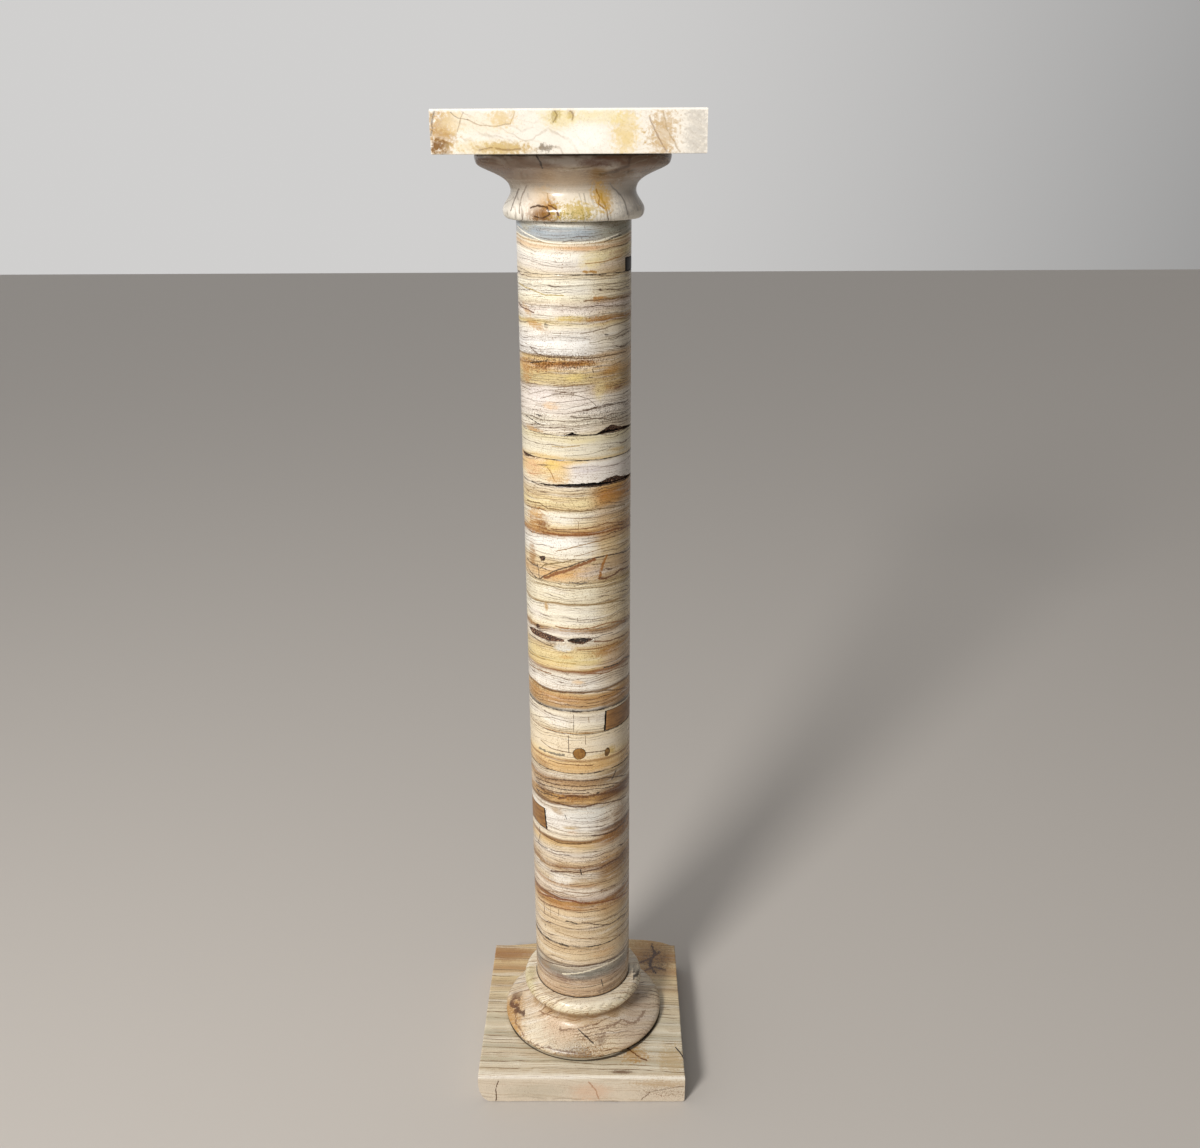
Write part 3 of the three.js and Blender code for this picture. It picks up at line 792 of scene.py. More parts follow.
drumRecipes["shaft_drum_06"] = {
    "bands": {620: "#d9c7a6", 623: "#ead2ae", 630: "#e9c698", 638: "#e8cfa8", 645: "#efdcb8",
              652: "#f2ead9", 662: "#f7f3ea", 670: "#f4eee2", 674: "#c08a4c", 678: "#e6c08a",
              683: "#efdcb8", 696: "#f1e8d5", 700: "#e9d2a6", 706: "#f0dfb4", 714: "#efdab0",
              720: "#ecdcc0", 724.5: "#efe3cd"},
    "rightBands": {620: "#d3b98f", 628: "#dfc6a6", 638: "#ddc3a1", 650: "#e6cfa8", 662: "#e9cfa4",
                   672: "#d8b184", 677: "#c79a68", 682: "#e2c398", 690: "#d9bd98", 698: "#e2cdb2",
                   703: "#dcae72", 710: "#d59a56", 718: "#d9a664", 724.5: "#e2bf8c"},
    "sideFrom": 8, "sideTo": 30, "slow": 3.0, "quick": 1.2, "tilt": 2.0, "spacing": 3.0, "lines": 0.48,
    "darkLine": "#99703f", "lowGlue": (0.3, 0.3), "highGlue": (1.1, 1.2),
    "stains": [
        stain(centre=(536, 519), reach=(14, 13), tint="#c08840", strength=0.85, ragged=1.6, soft=0.3),
        stain(centre=(543, 526), reach=(7, 6), tint="#8a5522", strength=0.7, ragged=2.0),
        stain(centre=(535, 511), reach=(10, 3.5), tint="#e9c48e", strength=0.7),
        stain(centre=(562, 519), reach=(18, 6), tint="#f3efe4", strength=0.7),
        stain(centre=(555, 541.5), reach=(24, 5), tint="#f6f4ee", strength=0.85),
        stain(centre=(583, 534), reach=(12, 2.4), tint="#a8682a", strength=0.7, ragged=1.4),
        stain(centre=(600, 500), reach=(40, 12), tint="#8a5c2c", strength=0.6, grains=0.5),
        stain(centre=(588, 573), reach=(26, 9), tint="#7d6a58", strength=0.7, grains=0.8),
        stain(centre=(615, 497), reach=(14, 6), tint="#c9924a", strength=0.45, ragged=1.6),
        stain(centre=(607, 494), reach=(12, 3), tint="#c8883c", strength=0.5),
        stain(centre=(532, 553), reach=(6, 12), tint="#b07c3c", strength=0.8, ragged=1.2),
        stain(centre=(566, 574), reach=(26, 6.5), tint="#e6b87c", strength=0.75, slant=0.2),
        stain(centre=(590, 574), reach=(14, 7), tint="#ddcdbf", strength=0.6, ragged=1.6),
        stain(centre=(570, 553), reach=(30, 7), tint="#f6f1e4", strength=0.55),
        stain(centre=(616, 560), reach=(14, 9), tint="#cfae86", strength=0.5, ragged=1.8),
        stain(centre=(532, 573), reach=(9, 8), tint="#dcc3a0", strength=0.7, ragged=2.0),
    ],
    "veins": [
        vein(points=((527, 498), (532.8, 500), (540, 502), (549, 508), (560.5, 510.3), (583.6, 511.7),
                     (597.5, 510.3), (625, 506.6)), tint="#94764a", width=0.7),
        vein(points=((527, 503.5), (540, 507.5), (547, 510)), tint="#8a6238", width=0.6),
        vein(points=((527, 488), (545, 497), (570, 503)), tint="#c7ad8c", width=0.5),
        vein(points=((551, 528), (588, 528.4), (606.8, 524.2), (625, 523.3)), tint="#96683a", width=0.7),
        vein(points=((547, 531.5), (569.8, 535.3), (588, 534.6), (616, 530.7), (630, 526)),
             tint="#9a622c", width=1.2),
        vein(points=((560, 517), (585, 519), (610, 515.5), (625, 512)), tint="#b39a80", width=0.5),
        vein(points=((558.6, 550), (577, 546.5), (593, 542.8), (612, 538)), tint="#b08c62", width=0.6),
        vein(points=((575, 556), (600, 550), (628, 540.5)), tint="#a27a4c", width=0.5),
        vein(points=((539.7, 578.9), (544.8, 574.2), (562.4, 567.8), (588.3, 559.9), (601.2, 557.6),
                     (629.9, 548.8)), tint="#4f3018", width=0.8),
        vein(points=((544.8, 576.6), (564.2, 571), (583.6, 564), (593.8, 560.3)), tint="#96591f",
             width=2.2, broken=0.8),
        vein(points=((539.7, 567.8), (544.8, 564), (556.8, 562.2), (575.3, 559.4)), tint="#8f7440",
             width=0.7),
        vein(points=((527, 556), (533, 563), (538, 565)), tint="#5a3a20", width=0.8),
        vein(points=((527, 563), (531, 570.5), (539.7, 579.8)), tint="#4c3524", width=0.6),
        vein(points=((537.4, 563), (538.8, 571), (539.7, 579)), tint="#4c3524", width=0.6),
        vein(points=((606.7, 557.5), (603, 564), (599.5, 572.5), (598.4, 579.8)), tint="#b77a2c",
             width=1.8, broken=1.4),
        vein(points=((598.4, 579.6), (604.9, 579.8), (614.2, 576), (620.6, 570.5), (629, 566.8)),
             tint="#7d4a1c", width=1.3),
        vein(points=((569.8, 583), (580, 584.5), (588, 583.6)), tint="#847a6c", width=0.8, broken=2.2),
    ],
    "cracks": [
        vein(points=((578.3, 522), (578.8, 534)), tint="#a8835a", width=0.4),
    ],
}
drumRecipes["shaft_drum_07"] = {
    "bands": {724.5: "#f0e3cf", 730: "#f1e2c6", 738: "#efd5a8", 745: "#efd0a0", 752: "#ecc894"},
    "rightBands": {724.5: "#f3ece2", 733: "#f5efe8", 742: "#f0e8e2", 748: "#f2ebe2", 752: "#efe3cf"},
    "sideFrom": -14, "sideTo": 2, "slow": 3.0, "quick": 1.4, "spacing": 4.0, "lines": 0.32,
    "darkLine": "#a88a68", "lowGlue": (0.8, 0.8), "highGlue": (0.9, 0.8),
    "stains": [
        stain(centre=(531, 468), reach=(13, 8), tint="#ecc09a", strength=0.7, ragged=1.2),
        stain(centre=(552, 466), reach=(9, 6), tint="#ecce74", strength=0.6),
        stain(centre=(556, 480), reach=(10, 3.4), tint="#ddab5c", strength=0.6, ragged=1.8),
        stain(centre=(573, 462), reach=(14, 3), tint="#f0d08e", strength=0.6),
        stain(centre=(588, 470), reach=(12, 4), tint="#d8d0d2", strength=0.5, ragged=1.8),
    ],
    "veins": [
        vein(points=((546.6, 467.8), (551, 474), (555, 480.7)), tint="#b27f3a", width=0.6),
        vein(points=((528, 473), (545, 473.5)), tint="#cfa27a", width=0.5),
    ],
}
drumRecipes["shaft_drum_08"] = {
    "bands": {752: "#ecd3a4", 756: "#ebe0c8", 761: "#ece4d0", 766: "#efe8d6", 771: "#e6dcc2",
              777.5: "#eadfbf"},
    "slow": 1.6, "quick": 0.5, "spacing": 2.4, "lines": 0.34, "darkLine": "#b09468", "lowGlue": (0.8, 0.7),
    "highGlue": (0.35, 0.9),
    "stains": [
        stain(centre=(580, 441), reach=(16, 3), tint="#efdfb0", strength=0.5),
        stain(centre=(618, 449), reach=(12, 2.4), tint="#e2c07c", strength=0.6),
        stain(centre=(545, 456), reach=(20, 2.4), tint="#e9c98c", strength=0.55),
    ],
    "veins": [
        vein(points=((552, 446), (565, 446.8), (580, 445.5)), tint="#c7a872", width=0.45),
        vein(points=((565, 455.5), (590, 454), (612, 447)), tint="#b7aa92", width=0.45),
    ],
}
drumRecipes["shaft_drum_09"] = {
    "bands": {777.5: "#ecdfc4", 783: "#efe6d8", 792: "#efe7d6", 800: "#ede4da", 812: "#efe6de",
              824: "#ece2d6", 827: "#b9a488", 829: "#ecd8ac", 836: "#eddaa8", 843: "#e9c996",
              848: "#d9a866", 853: "#e9cb98", 856: "#a98e6a", 858: "#f4f1ec", 870: "#f3f0ec",
              880: "#f2ece2", 886: "#efe2c6", 889: "#e6cf94", 892: "#f0e9da", 900: "#f0e6de",
              907: "#e9dcc6", 910: "#f3ebd4", 918: "#f6f2e6", 926: "#f4eedc", 932.5: "#e9d8bc"},
    "rightBands": {777.5: "#e2d2b8", 790: "#e6dccb", 800: "#ebe2d8", 812: "#ebe1d2", 822: "#dcb67c",
                   828: "#e6cb9c", 838: "#e2bc88", 846: "#e9d3b4", 856: "#e0c4a2", 860: "#efe6d6",
                   880: "#ece0cc", 885: "#e3cda4", 889: "#b98238", 893: "#e6d3b6", 903: "#e9dcd2",
                   908: "#b9925f", 911: "#eee0c4", 924: "#f0e4c9", 932.5: "#e2cba6"},
    "sideFrom": 6, "sideTo": 34, "slow": 3.0, "quick": 1.2, "tilt": 2.2, "spacing": 2.7, "lines": 0.58,
    "darkLine": "#8f7350", "lowGlue": (0.35, 1.2), "highGlue": (0.5, 0.8),
    "stains": [
        stain(centre=(600, 299), reach=(6, 2.2), tint="#c58a36", strength=0.8, ragged=1.6),
        stain(centre=(526, 307), reach=(7, 4), tint="#cf9f52", strength=0.7, slant=-0.5),
        stain(centre=(534, 323), reach=(13, 4.2), tint="#c9964a", strength=0.8, slant=-0.35, ragged=1.4),
        stain(centre=(546.5, 325), reach=(2.6, 1.8), tint="#6d5c49", strength=0.8, ragged=1.6),
        stain(centre=(600, 319), reach=(30, 2.6), tint="#b98540", strength=0.75, ragged=1.4),
        stain(centre=(570, 318.5), reach=(16, 2.4), tint="#e3c878", strength=0.7),
        stain(centre=(556, 365), reach=(36, 4.2), tint="#b97a2c", strength=0.8, slant=0.09, ragged=1.8),
        stain(centre=(576, 362), reach=(14, 2.6), tint="#9c5f1f", strength=0.7, slant=0.12),
        stain(centre=(526, 369), reach=(8, 9), tint="#c68a44", strength=0.75, ragged=1.8),
        stain(centre=(575, 378), reach=(10, 4), tint="#eed790", strength=0.55),
        stain(centre=(613, 369), reach=(9, 6), tint="#cf9c50", strength=0.6, ragged=1.4),
        stain(centre=(619, 388.5), reach=(8, 1.6), tint="#8b5423", strength=0.85, ragged=1.2),
        stain(centre=(600, 392), reach=(6, 9), tint="#efdba6", strength=0.6),
        stain(centre=(551, 405), reach=(8, 4), tint="#eccaa4", strength=0.7),
        stain(centre=(534, 429), reach=(14, 3.4), tint="#cc9a4c", strength=0.8, slant=-0.15),
        stain(centre=(562, 345), reach=(26, 8), tint="#f7f5f0", strength=0.6),
        stain(centre=(540, 392), reach=(16, 8), tint="#f0e8e6", strength=0.6),
        stain(centre=(608, 415), reach=(32, 9), tint="#54483c", strength=0.75, grains=0.8),
        stain(centre=(535, 417), reach=(18, 8), tint="#5e5144", strength=0.7, grains=0.8),
        stain(centre=(560, 362), reach=(50, 9), tint="#5e3a14", grains=1.0),
        stain(centre=(585, 384), reach=(44, 12), tint="#8a6238", strength=0.6, grains=0.5),
        stain(centre=(600, 310), reach=(34, 9), tint="#8f7a66", strength=0.55, grains=0.6),
    ],
    "veins": [
        vein(points=((518.9, 280.6), (532, 288), (546.6, 294.5), (565, 295.6)), tint="#c4ab68", width=0.6),
        vein(points=((584.6, 301.4), (603, 300), (629, 297.7)), tint="#8a6434", width=0.6),
        vein(points=((518.9, 301.9), (526, 307), (533.7, 311.6)), tint="#7d4f22", width=0.8),
        vein(points=((518.9, 297), (530, 303), (560, 306), (590, 308)), tint="#b4a494", width=0.5),
        vein(points=((556, 334.5), (575, 337), (590, 339.4)), tint="#b9b3ad", width=0.4),
        vein(points=((530, 345), (535.5, 351.5), (544.8, 355.6), (564, 357), (588, 358), (616, 355),
                     (626, 353)), tint="#75593c", width=0.6),
        vein(points=((530, 361.2), (549.4, 359.8)), tint="#3c2c1e", width=0.6, broken=1.8),
        vein(points=((580, 333.5), (605, 329), (630, 319.5)), tint="#8d7458", width=0.5),
        vein(points=((590, 343), (610, 339.5), (629, 333)), tint="#a69880", width=0.4),
        vein(points=((553, 384.5), (566, 386.5), (582, 385)), tint="#9c7c54", width=0.5),
        vein(points=((528, 393), (545, 388.5), (562, 391), (580, 389.5)), tint="#b3a69a", width=0.45),
        vein(points=((540, 397), (556, 393), (572, 395), (588, 400), (596, 407.5)), tint="#9a8a7a",
             width=0.5),
        vein(points=((583, 411), (600, 409.5), (616, 406), (628, 402)), tint="#6d5844", width=0.7,
             broken=1.6),
        vein(points=((570, 416), (590, 419), (608, 421), (626, 414.5)), tint="#7d6b58", width=0.6,
             broken=1.8),
        vein(points=((526, 414), (533, 419), (539, 422.7)), tint="#4a3a2c", width=0.6, broken=1.8),
        vein(points=((572, 428), (576, 432.5)), tint="#8a7a66", width=0.4),
    ],
    "cracks": [
        vein(points=((536, 414.2), (541, 415.6)), tint="dark", width=0.8, broken=1.6),
        vein(points=((592.5, 369), (593.5, 372.5)), tint="#4a3a2c", width=0.5),
        vein(points=((605, 334.3), (608, 334.8)), tint="#4a3a2c", width=0.6),
    ],
}
drumRecipes["shaft_drum_10"] = {
    "bands": {932.5: "#e6d8c0", 936: "#ebe2d6", 944: "#f1ece4", 950: "#f5f0e4", 954: "#efdcc2",
              957: "#e6c6a0", 959: "#f2e8d4", 960.6: "#c7a880", 962: "#f1ead8", 963.5: "#bcc2c2",
              967: "#b9c2c8", 972: "#b0bbc4", 975: "#bec6c8", 977: "#f1eee4", 979: "#e9e4d6", 981: "#b9ae98"},
    "rightBands": {932.5: "#dcc4a0", 940: "#e8d8c4", 946: "#eedfb6", 952: "#f0e0b8", 956: "#e2c2a0",
                   959: "#efe0c4", 960.6: "#b4905f", 962: "#f1e6cc", 963.5: "#b9b8aa", 970: "#b8b8ac",
                   976: "#b4afa0", 981: "#9b917e"},
    "sideFrom": 8, "sideTo": 36, "slow": 1.2, "quick": 0.6, "sag": 4.0, "spacing": 2.6, "lines": 0.3,
    # highGlue is widened here: the dark line under the capital's lip is partly glue, partly painted shadow
    "lowGlue": (0.4, 0.7), "highGlue": (1.3, 1.3),
    "stains": [
        stain(centre=(582, 248.5), reach=(18, 2.6), tint="#ecc29c", strength=0.7),
        stain(centre=(592, 262), reach=(12, 8), tint="#f2dfa6", strength=0.65),
        stain(centre=(618, 257), reach=(12, 5), tint="#cfa888", strength=0.6, ragged=1.8),
        stain(centre=(556, 256), reach=(22, 5), tint="#f8f5ec", strength=0.75),
        stain(centre=(525, 226), reach=(10, 7), tint="#c6bca4", strength=0.7),
    ],
    "veins": [
        vein(points=((518, 233), (532.8, 239), (543.9, 242.7), (569.8, 244), (592.9, 242.7),
                     (606.8, 239.9), (618.8, 237.1)), tint="#f7f2e4", width=0.7, broken=0.6),
        vein(points=((604, 243), (613, 240.5), (622, 239)), tint="#3f3226", width=0.5),
        vein(points=((600, 251.5), (614, 249), (628, 249.5)), tint="#8f7658", width=0.5),
        vein(points=((585, 264.5), (605, 263), (622, 260)), tint="#b98a4c", width=0.5),
        vein(points=((582, 272.5), (596, 272.8)), tint="#c29248", width=1.0, broken=1.8),
    ],
}


# Shapes. Every piece is a stack of rings of points, from its foot to its top; angles run from the
# front towards +X.
def ringMesh(pieceName, rings, sharpFrom=38.0):
    rows, steps = rings.shape[:2]
    ends = [rings[0].mean(axis=0), rings[-1].mean(axis=0)]
    points = np.vstack([rings.reshape(-1, 3), ends]) * mm
    here = np.arange(steps)
    after = (here + 1) % steps
    faces = []
    for row in range(rows - 1):
        a = row * steps
        b = a + steps
        faces.extend(np.stack([a + here, a + after, b + after, b + here], axis=1).tolist())
    lowEnd = rows * steps
    top = (rows - 1) * steps
    faces.extend(np.stack([np.full(steps, lowEnd), after, here], axis=1).tolist())
    faces.extend(np.stack([np.full(steps, lowEnd + 1), top + here, top + after], axis=1).tolist())
    mesh = bpy.data.meshes.new(pieceName)
    mesh.from_pydata(points.tolist(), [], faces)
    mesh.polygons.foreach_set("use_smooth", [True] * len(mesh.polygons))
    mesh.set_sharp_from_angle(angle=math.radians(sharpFrom))
    mesh.update()
    return mesh


slotOf = {part["node"]: part["material_slot"] for part in frame["record"]["subparts"]}


def addPiece(node, mesh, material):
    piece = bpy.data.objects.new(node + "_stone", mesh)
    bpy.context.scene.collection.objects.link(piece)
    mesh.materials.append(material)
    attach(piece, "root")
    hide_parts(node)


# Unevenness of a hand-worked or broken stone, -1 to 1, from crossed waves of odd lengths
def ragged(along, height, size=1.0):
    a = along / size
    h = height / size
    waves = np.sin(a * 0.9 + 1.7 * np.sin(h * 0.7)) + np.sin(h * 1.3 + 2.1 * np.sin(a * 0.5 + 1.0))
    waves = waves + 0.7 * np.sin(a * 2.3 + h * 1.9 + 0.4) + 0.5 * np.sin(a * 4.1 - h * 3.7 + 2.2)
    return waves / 3.2


# How far places lie inside an outline, in mm; negative outside
def depthInside(along, height, outline):
    nearest = np.full(along.shape, 1e9)
    inside = np.zeros(along.shape, bool)
    for (ax, ay), (bx, by) in zip(outline, outline[1:] + outline[:1]):
        dx, dy = bx - ax, by - ay
        share = np.clip(((along - ax) * dx + (height - ay) * dy) / (dx * dx + dy * dy + 1e-9), 0, 1)
        nearest = np.minimum(nearest, np.hypot(along - ax - share * dx, height - ay - share * dy))
        if abs(dy) > 1e-9:
            crosses = (ay > height) != (by > height)
            inside ^= crosses & (along < ax + (height - ay) * dx / dy)
    return np.where(inside, nearest, -nearest)


def degreesAlong(degrees):
    return math.radians(degrees) * shaftRadius


# Chips and voids in the drums. An edge chip runs along a joint, up or down from it: its outline is
# (degrees from the front, mm from the joint). A void is an outline of pixels. deep is how far the
# stone is gone, wall how wide its sloping edge is, and rag how uneven.
edgeChips = [
    {"joint": 777.5, "up": True, "deep": 2.8, "wall": 1.2, "rag": 0.5,
     "outline": [(20, 0), (27, 2.5), (33, 5.5), (38, 7.5), (42, 8.2), (47, 6.2), (52, 4.8), (60, 3.5),
                 (72, 2.2), (85, 0.8), (92, 0)]},
    {"joint": 777.5, "up": True, "deep": 4.4, "wall": 1.0, "rag": 0.4,
     "outline": [(24, 0), (31, 2.2), (38, 3.2), (46, 2.2), (58, 1.4), (70, 0.6), (76, 0)]},
    {"joint": 777.5, "up": True, "deep": 4.0, "wall": 1.0, "rag": 0.3,
     "outline": [(-11, 0), (-7, 1.4), (-2.5, 3.2), (1, 1.5), (6, 0.9), (13, 0.6), (20, 0)]},
    {"joint": 752, "up": False, "deep": 4.6, "wall": 1.0, "rag": 0.4,
     "outline": [(-93, 0), (-88, 1.4), (-78, 2.8), (-70, 3.8), (-62, 3.0), (-54, 1.6), (-40, 0.6), (-36, 0)]},
    {"joint": 724.5, "up": True, "deep": 4.8, "wall": 0.9, "rag": 0.35,
     "outline": [(-44, 0), (-38.6, 1), (-26, 1.6), (-14.7, 2.6), (-3.9, 3.3), (6.8, 3.7), (18, 3.8),
                 (23.5, 3.6), (30, 2.6), (40, 2.0), (55, 1.2), (80, 0.6), (88, 0)]},
    {"joint": 724.5, "up": True, "deep": 2.6, "wall": 1.1, "rag": 0.5,
     "outline": [(20, 0), (23.5, 3.4), (29, 4.6), (35, 6.7), (47, 8), (54.6, 5.4), (72.5, 2.6), (84, 1.2),
                 (92, 0)]},
]
voids = [
    {"deep": 3.4, "wall": 0.8, "outline": ((538.5, 556.2), (545.5, 556), (544.5, 560.8), (541, 561.2))},
    {"deep": 3.0, "wall": 0.7, "outline": ((535.2, 624.2), (538.6, 624), (540.2, 627.2), (536.2, 628))},
    {"deep": 3.6, "wall": 1.0, "outline": ((567, 640.2), (573, 638.6), (584, 638.2), (596, 638.6),
                                           (590, 641.6), (583, 644.8), (574, 643.8), (569, 642.2))},
    {"deep": 1.9, "wall": 1.2, "outline": ((528, 625.6), (533, 627), (540, 631), (550, 634.6),
                                           (564, 639.4), (565, 642.6), (549, 641.6), (540, 638.4),
                                           (532, 633.6))},
]

# The repairs let into the shaft: places in degrees and mm, as in the solids
repairs = {
    "patch_right": {"from": 31, "to": 100, "low": 446.6, "high": 470, "lean": 1.5},
    "patch_left": {"from": -100, "to": -43, "low": 319, "high": 343.5, "lean": -3},
    "patch_top": {"from": 64, "to": 96, "low": 933, "high": 945, "lean": 0},
    "plug_round": {"angle": 0.7, "height": 422.2, "width": 13.6, "tall": 13.2},
    "plug_small": {"angle": 33.7, "height": 419.5, "width": 6.4, "tall": 9.6},
}
repairGlue = 0.8  # mm of dark glue round each repair
repairDepth = 5.0
repairSunk = 0.08


def repairOutline(repair, grow):
    if "width" in repair:
        centre = degreesAlong(repair["angle"])
        grow *= 0.35
        turns = [math.radians(15 * i) for i in range(24)]
        return [(centre + (repair["width"] / 2 + grow) * math.cos(t),
                 repair["height"] + (repair["tall"] / 2 + grow) * math.sin(t)) for t in turns]
    lean = repair["lean"]
    low, high = repair["low"] - grow * 1.7, repair["high"] + grow * 0.6
    left, right = degreesAlong(repair["from"]) - grow * 1.9, degreesAlong(repair["to"]) + grow * 1.9
    lean = degreesAlong(lean)
    return [(left, low), (right, low), (right + lean, high), (left + lean, high)]


def drumCuts(low, high):
    cuts = []
    for chip in edgeChips:
        if low - 0.1 <= chip["joint"] <= high + 0.1 and (chip["joint"] < (low + high) / 2) == chip["up"]:
            way = 1 if chip["up"] else -1
            outline = [(degreesAlong(a), chip["joint"] + way * h) for a, h in chip["outline"]]
            first, last = chip["outline"][0][0], chip["outline"][-1][0]
            outline += [(degreesAlong(last), chip["joint"] - 3 * way),
                        (degreesAlong(first), chip["joint"] - 3 * way)]
            cuts.append({**chip, "outline": outline})
    for void in voids:
        outline = [onRound(pixel, shaftRadius) for pixel in void["outline"]]
        if low < outline[0][1] < high:
            cuts.append({**void, "outline": outline, "rag": 0.35})
    for repair in repairs.values():
        outline = repairOutline(repair, repairGlue)
        if low < outline[0][1] + 1 < high:
            cuts.append({"outline": outline, "deep": repairDepth + 1.0, "wall": 0.35, "rag": 0.0})
    return cuts


# The drums' meshes, in degrees and mm: finer in front than behind, and finer near chips and repairs
fineness = {"front": 105, "frontStep": 0.75, "backStep": 1.875, "coarse": 5.0, "fine": 0.7, "margin": 1.5,
            "arris": 0.7, "arrisHalf": 0.3}


def shaftAngles():
    front = fineness["front"]
    fine = np.arange(-front, front, fineness["frontStep"])
    back = np.arange(front, 360 - front, fineness["backStep"])
    return np.radians(np.concatenate([fine, back]))


def rowHeights(low, high, zones):
    coarse, fine, margin, arris = (fineness[key] for key in ("coarse", "fine", "margin", "arris"))
    heights = [low, low + fineness["arrisHalf"], low + arris]
    at = low + arris
    while at < high - arris - fine:
        near = any(a - margin < at < b + margin for a, b in zones)
        at += fine if near else coarse
        for a, b in zones:
            if not near and at - coarse < a - margin < at:
                at = a - margin + 0.1
        if at < high - arris - fine * 0.5:
            heights.append(at)
    return np.array(heights + [high - arris, high - fineness["arrisHalf"], high])


def drumMesh(node):
    low, high = (corner[2] for corner in boxOf(node))
    cuts = drumCuts(low, high)
    zones = [(min(h for a, h in cut["outline"]), max(h for a, h in cut["outline"])) for cut in cuts]
    heights = rowHeights(low, high, zones)
    angle, height = np.meshgrid(shaftAngles(), heights)
    along = np.where(angle > math.pi, angle - 2 * math.pi, angle) * shaftRadius
    seed = high * 0.37
    fromEnd = np.minimum(height - low, high - height)
    worn = np.clip(1 - fromEnd / fineness["arris"], 0, 1) ** 1.6
    gone = worn * (0.24 + 0.1 * ragged(along + seed, height, 5.0))
    gone += 0.05 * (1 + ragged(along + seed, height, 14.0))
    for cut in cuts:
        inside = depthInside(along, height, cut["outline"])
        inside = inside + cut["rag"] * ragged(along, height, 0.9)
        share = np.clip(inside / cut["wall"], 0, 1)
        share = share * share * (3 - 2 * share)
        rough = 1 + 0.3 * cut["rag"] * ragged(along + 31, height * 1.3, 1.4)
        gone = np.maximum(gone, cut["deep"] * share * rough)
    radius = shaftRadius - gone
    rings = np.stack([radius * np.sin(angle), -radius * np.cos(angle), height], axis=2)
    return ringMesh(node + "_stone", rings), low, high


for drumName in drumNames:
    mesh, low, high = drumMesh(drumName)
    addPiece(drumName, mesh, drumStone(drumName + "_onyx", low, high, drumRecipes[drumName]))
print("shaft drums built")


# Repairs: flush blocks and plugs with a small chamfer, their own stone and a dark glue edge
repairStones = {
    "patch_right": {"stops": [(0.25, "#6d4926"), (0.42, "#986d40"), (0.55, "#b88a58"), (0.75, "#7c5530")],
                    "grain": (0.05, 0.28), "rough": 0.3},
    "patch_left": {"stops": [(0.25, "#6d4926"), (0.42, "#976a3c"), (0.58, "#b58852"), (0.75, "#7a5530")],
                   "grain": (0.05, 0.28), "rough": 0.3},
    "patch_top": {"stops": [(0.3, "#140d09"), (0.5, "#241811"), (0.7, "#3f2c21")],
                  "grain": (0.05, 0.3), "rough": 0.34},
    "plug_round": {"stops": [(0.3, "#7c5020"), (0.5, "#a6773a"), (0.62, "#b98b4a"), (0.8, "#8a5e2a")],
                   "grain": (0.3, 0.25), "rough": 0.28},
    "plug_small": {"stops": [(0.3, "#6d4a24"), (0.5, "#8f6834"), (0.7, "#a88048")],
                   "grain": (0.3, 0.25), "rough": 0.28},
}


def repairMesh(node, repair):
    outline = repairOutline(repair, 0.0)
    if "width" in repair:
        middle = (degreesAlong(repair["angle"]), repair["height"])
        edge = outline
    else:
        middle = (sum(a for a, h in outline) / 4, sum(h for a, h in outline) / 4)
        edge = []
        for (ax, ay), (bx, by) in zip(outline, outline[1:] + outline[:1]):
            parts = max(2, int(math.hypot(bx - ax, by - ay) / 1.5))
            edge += [(ax + (bx - ax) * i / parts, ay + (by - ay) * i / parts) for i in range(parts)]
    edge = np.array(edge)
    middle = np.array(middle)
    reach = np.abs(edge - middle).max()
    chamfer = 0.25 if "width" in repair else 0.9
    layers = [(1.0, repairDepth), (1.0, 0.14 + chamfer * 0.5), (1 - chamfer / reach, 0.14)]
    layers += [(share, repairSunk) for share in (0.85, 0.65, 0.45, 0.25, 0.1)]
    rings = []
    for share, sunk in layers:
        spots = middle + (edge - middle) * share
        radius = shaftRadius - sunk - 0.03 * ragged(spots[:, 0], spots[:, 1], 2.5)
        angle = spots[:, 0] / shaftRadius
        rings.append(np.stack([radius * np.sin(angle), -radius * np.cos(angle), spots[:, 1]], axis=1))
    mesh = ringMesh(node + "_stone", np.array(rings))
    centre = mesh.vertices[len(mesh.vertices) - 1]
    aim = middle[0] / shaftRadius
    flush = shaftRadius - repairSunk
    centre.co = (flush * math.sin(aim) * mm, -flush * math.cos(aim) * mm, middle[1] * mm)
    return mesh


def repairStone(node, settings):
    material, tree, shader = newMaterial(slotOf[node])
    spot = useGroup(tree, roundPlace, Radius=shaftRadius)
    across, height, spare = splitXYZ(tree, spot["Place"])
    runs, rises = settings["grain"]
    stretched = joinXYZ(tree, times(tree, across, runs), times(tree, height, rises), 0.0)
    grain = cloud(tree, stretched, 1.0, 5.0, 0.65, 0.4)
    ramp = tree.nodes.new("ShaderNodeValToRGB")
    paintRamp(ramp, settings["stops"])
    plug(tree, ramp.inputs[0], grain)
    speck = ease(tree, cloud(tree, spot["Point"], 0.7, 3.0, 0.6), 0.6, 0.72)
    colour = blend(tree, times(tree, speck, 0.5), ramp.outputs[0], "#2b1c12")
    rim = ease(tree, spot["Inside"], 0.16, 0.4)
    colour = blend(tree, rim, colour, "#1d120b")
    finishStone(tree, shader, colour, spot["Point"], rough=settings["rough"], pits=0.8, crystal=0.0)
    return material


for repairName, repair in repairs.items():
    addPiece(repairName, repairMesh(repairName, repair), repairStone(repairName, repairStones[repairName]))
print("repairs built")


# The two mouldings, turned: a bowl against the slab, a hollow neck and a lip against the shaft
mouldings = {
    "base_moulding": {"bowl": 96.4, "neck": 62.5, "lip": 71.3, "tuck": 6.0},
    "capital": {"bowl": 94.8, "neck": 61.0, "lip": 69.0, "tuck": 0.0},
}
mouldingTall = 60.0


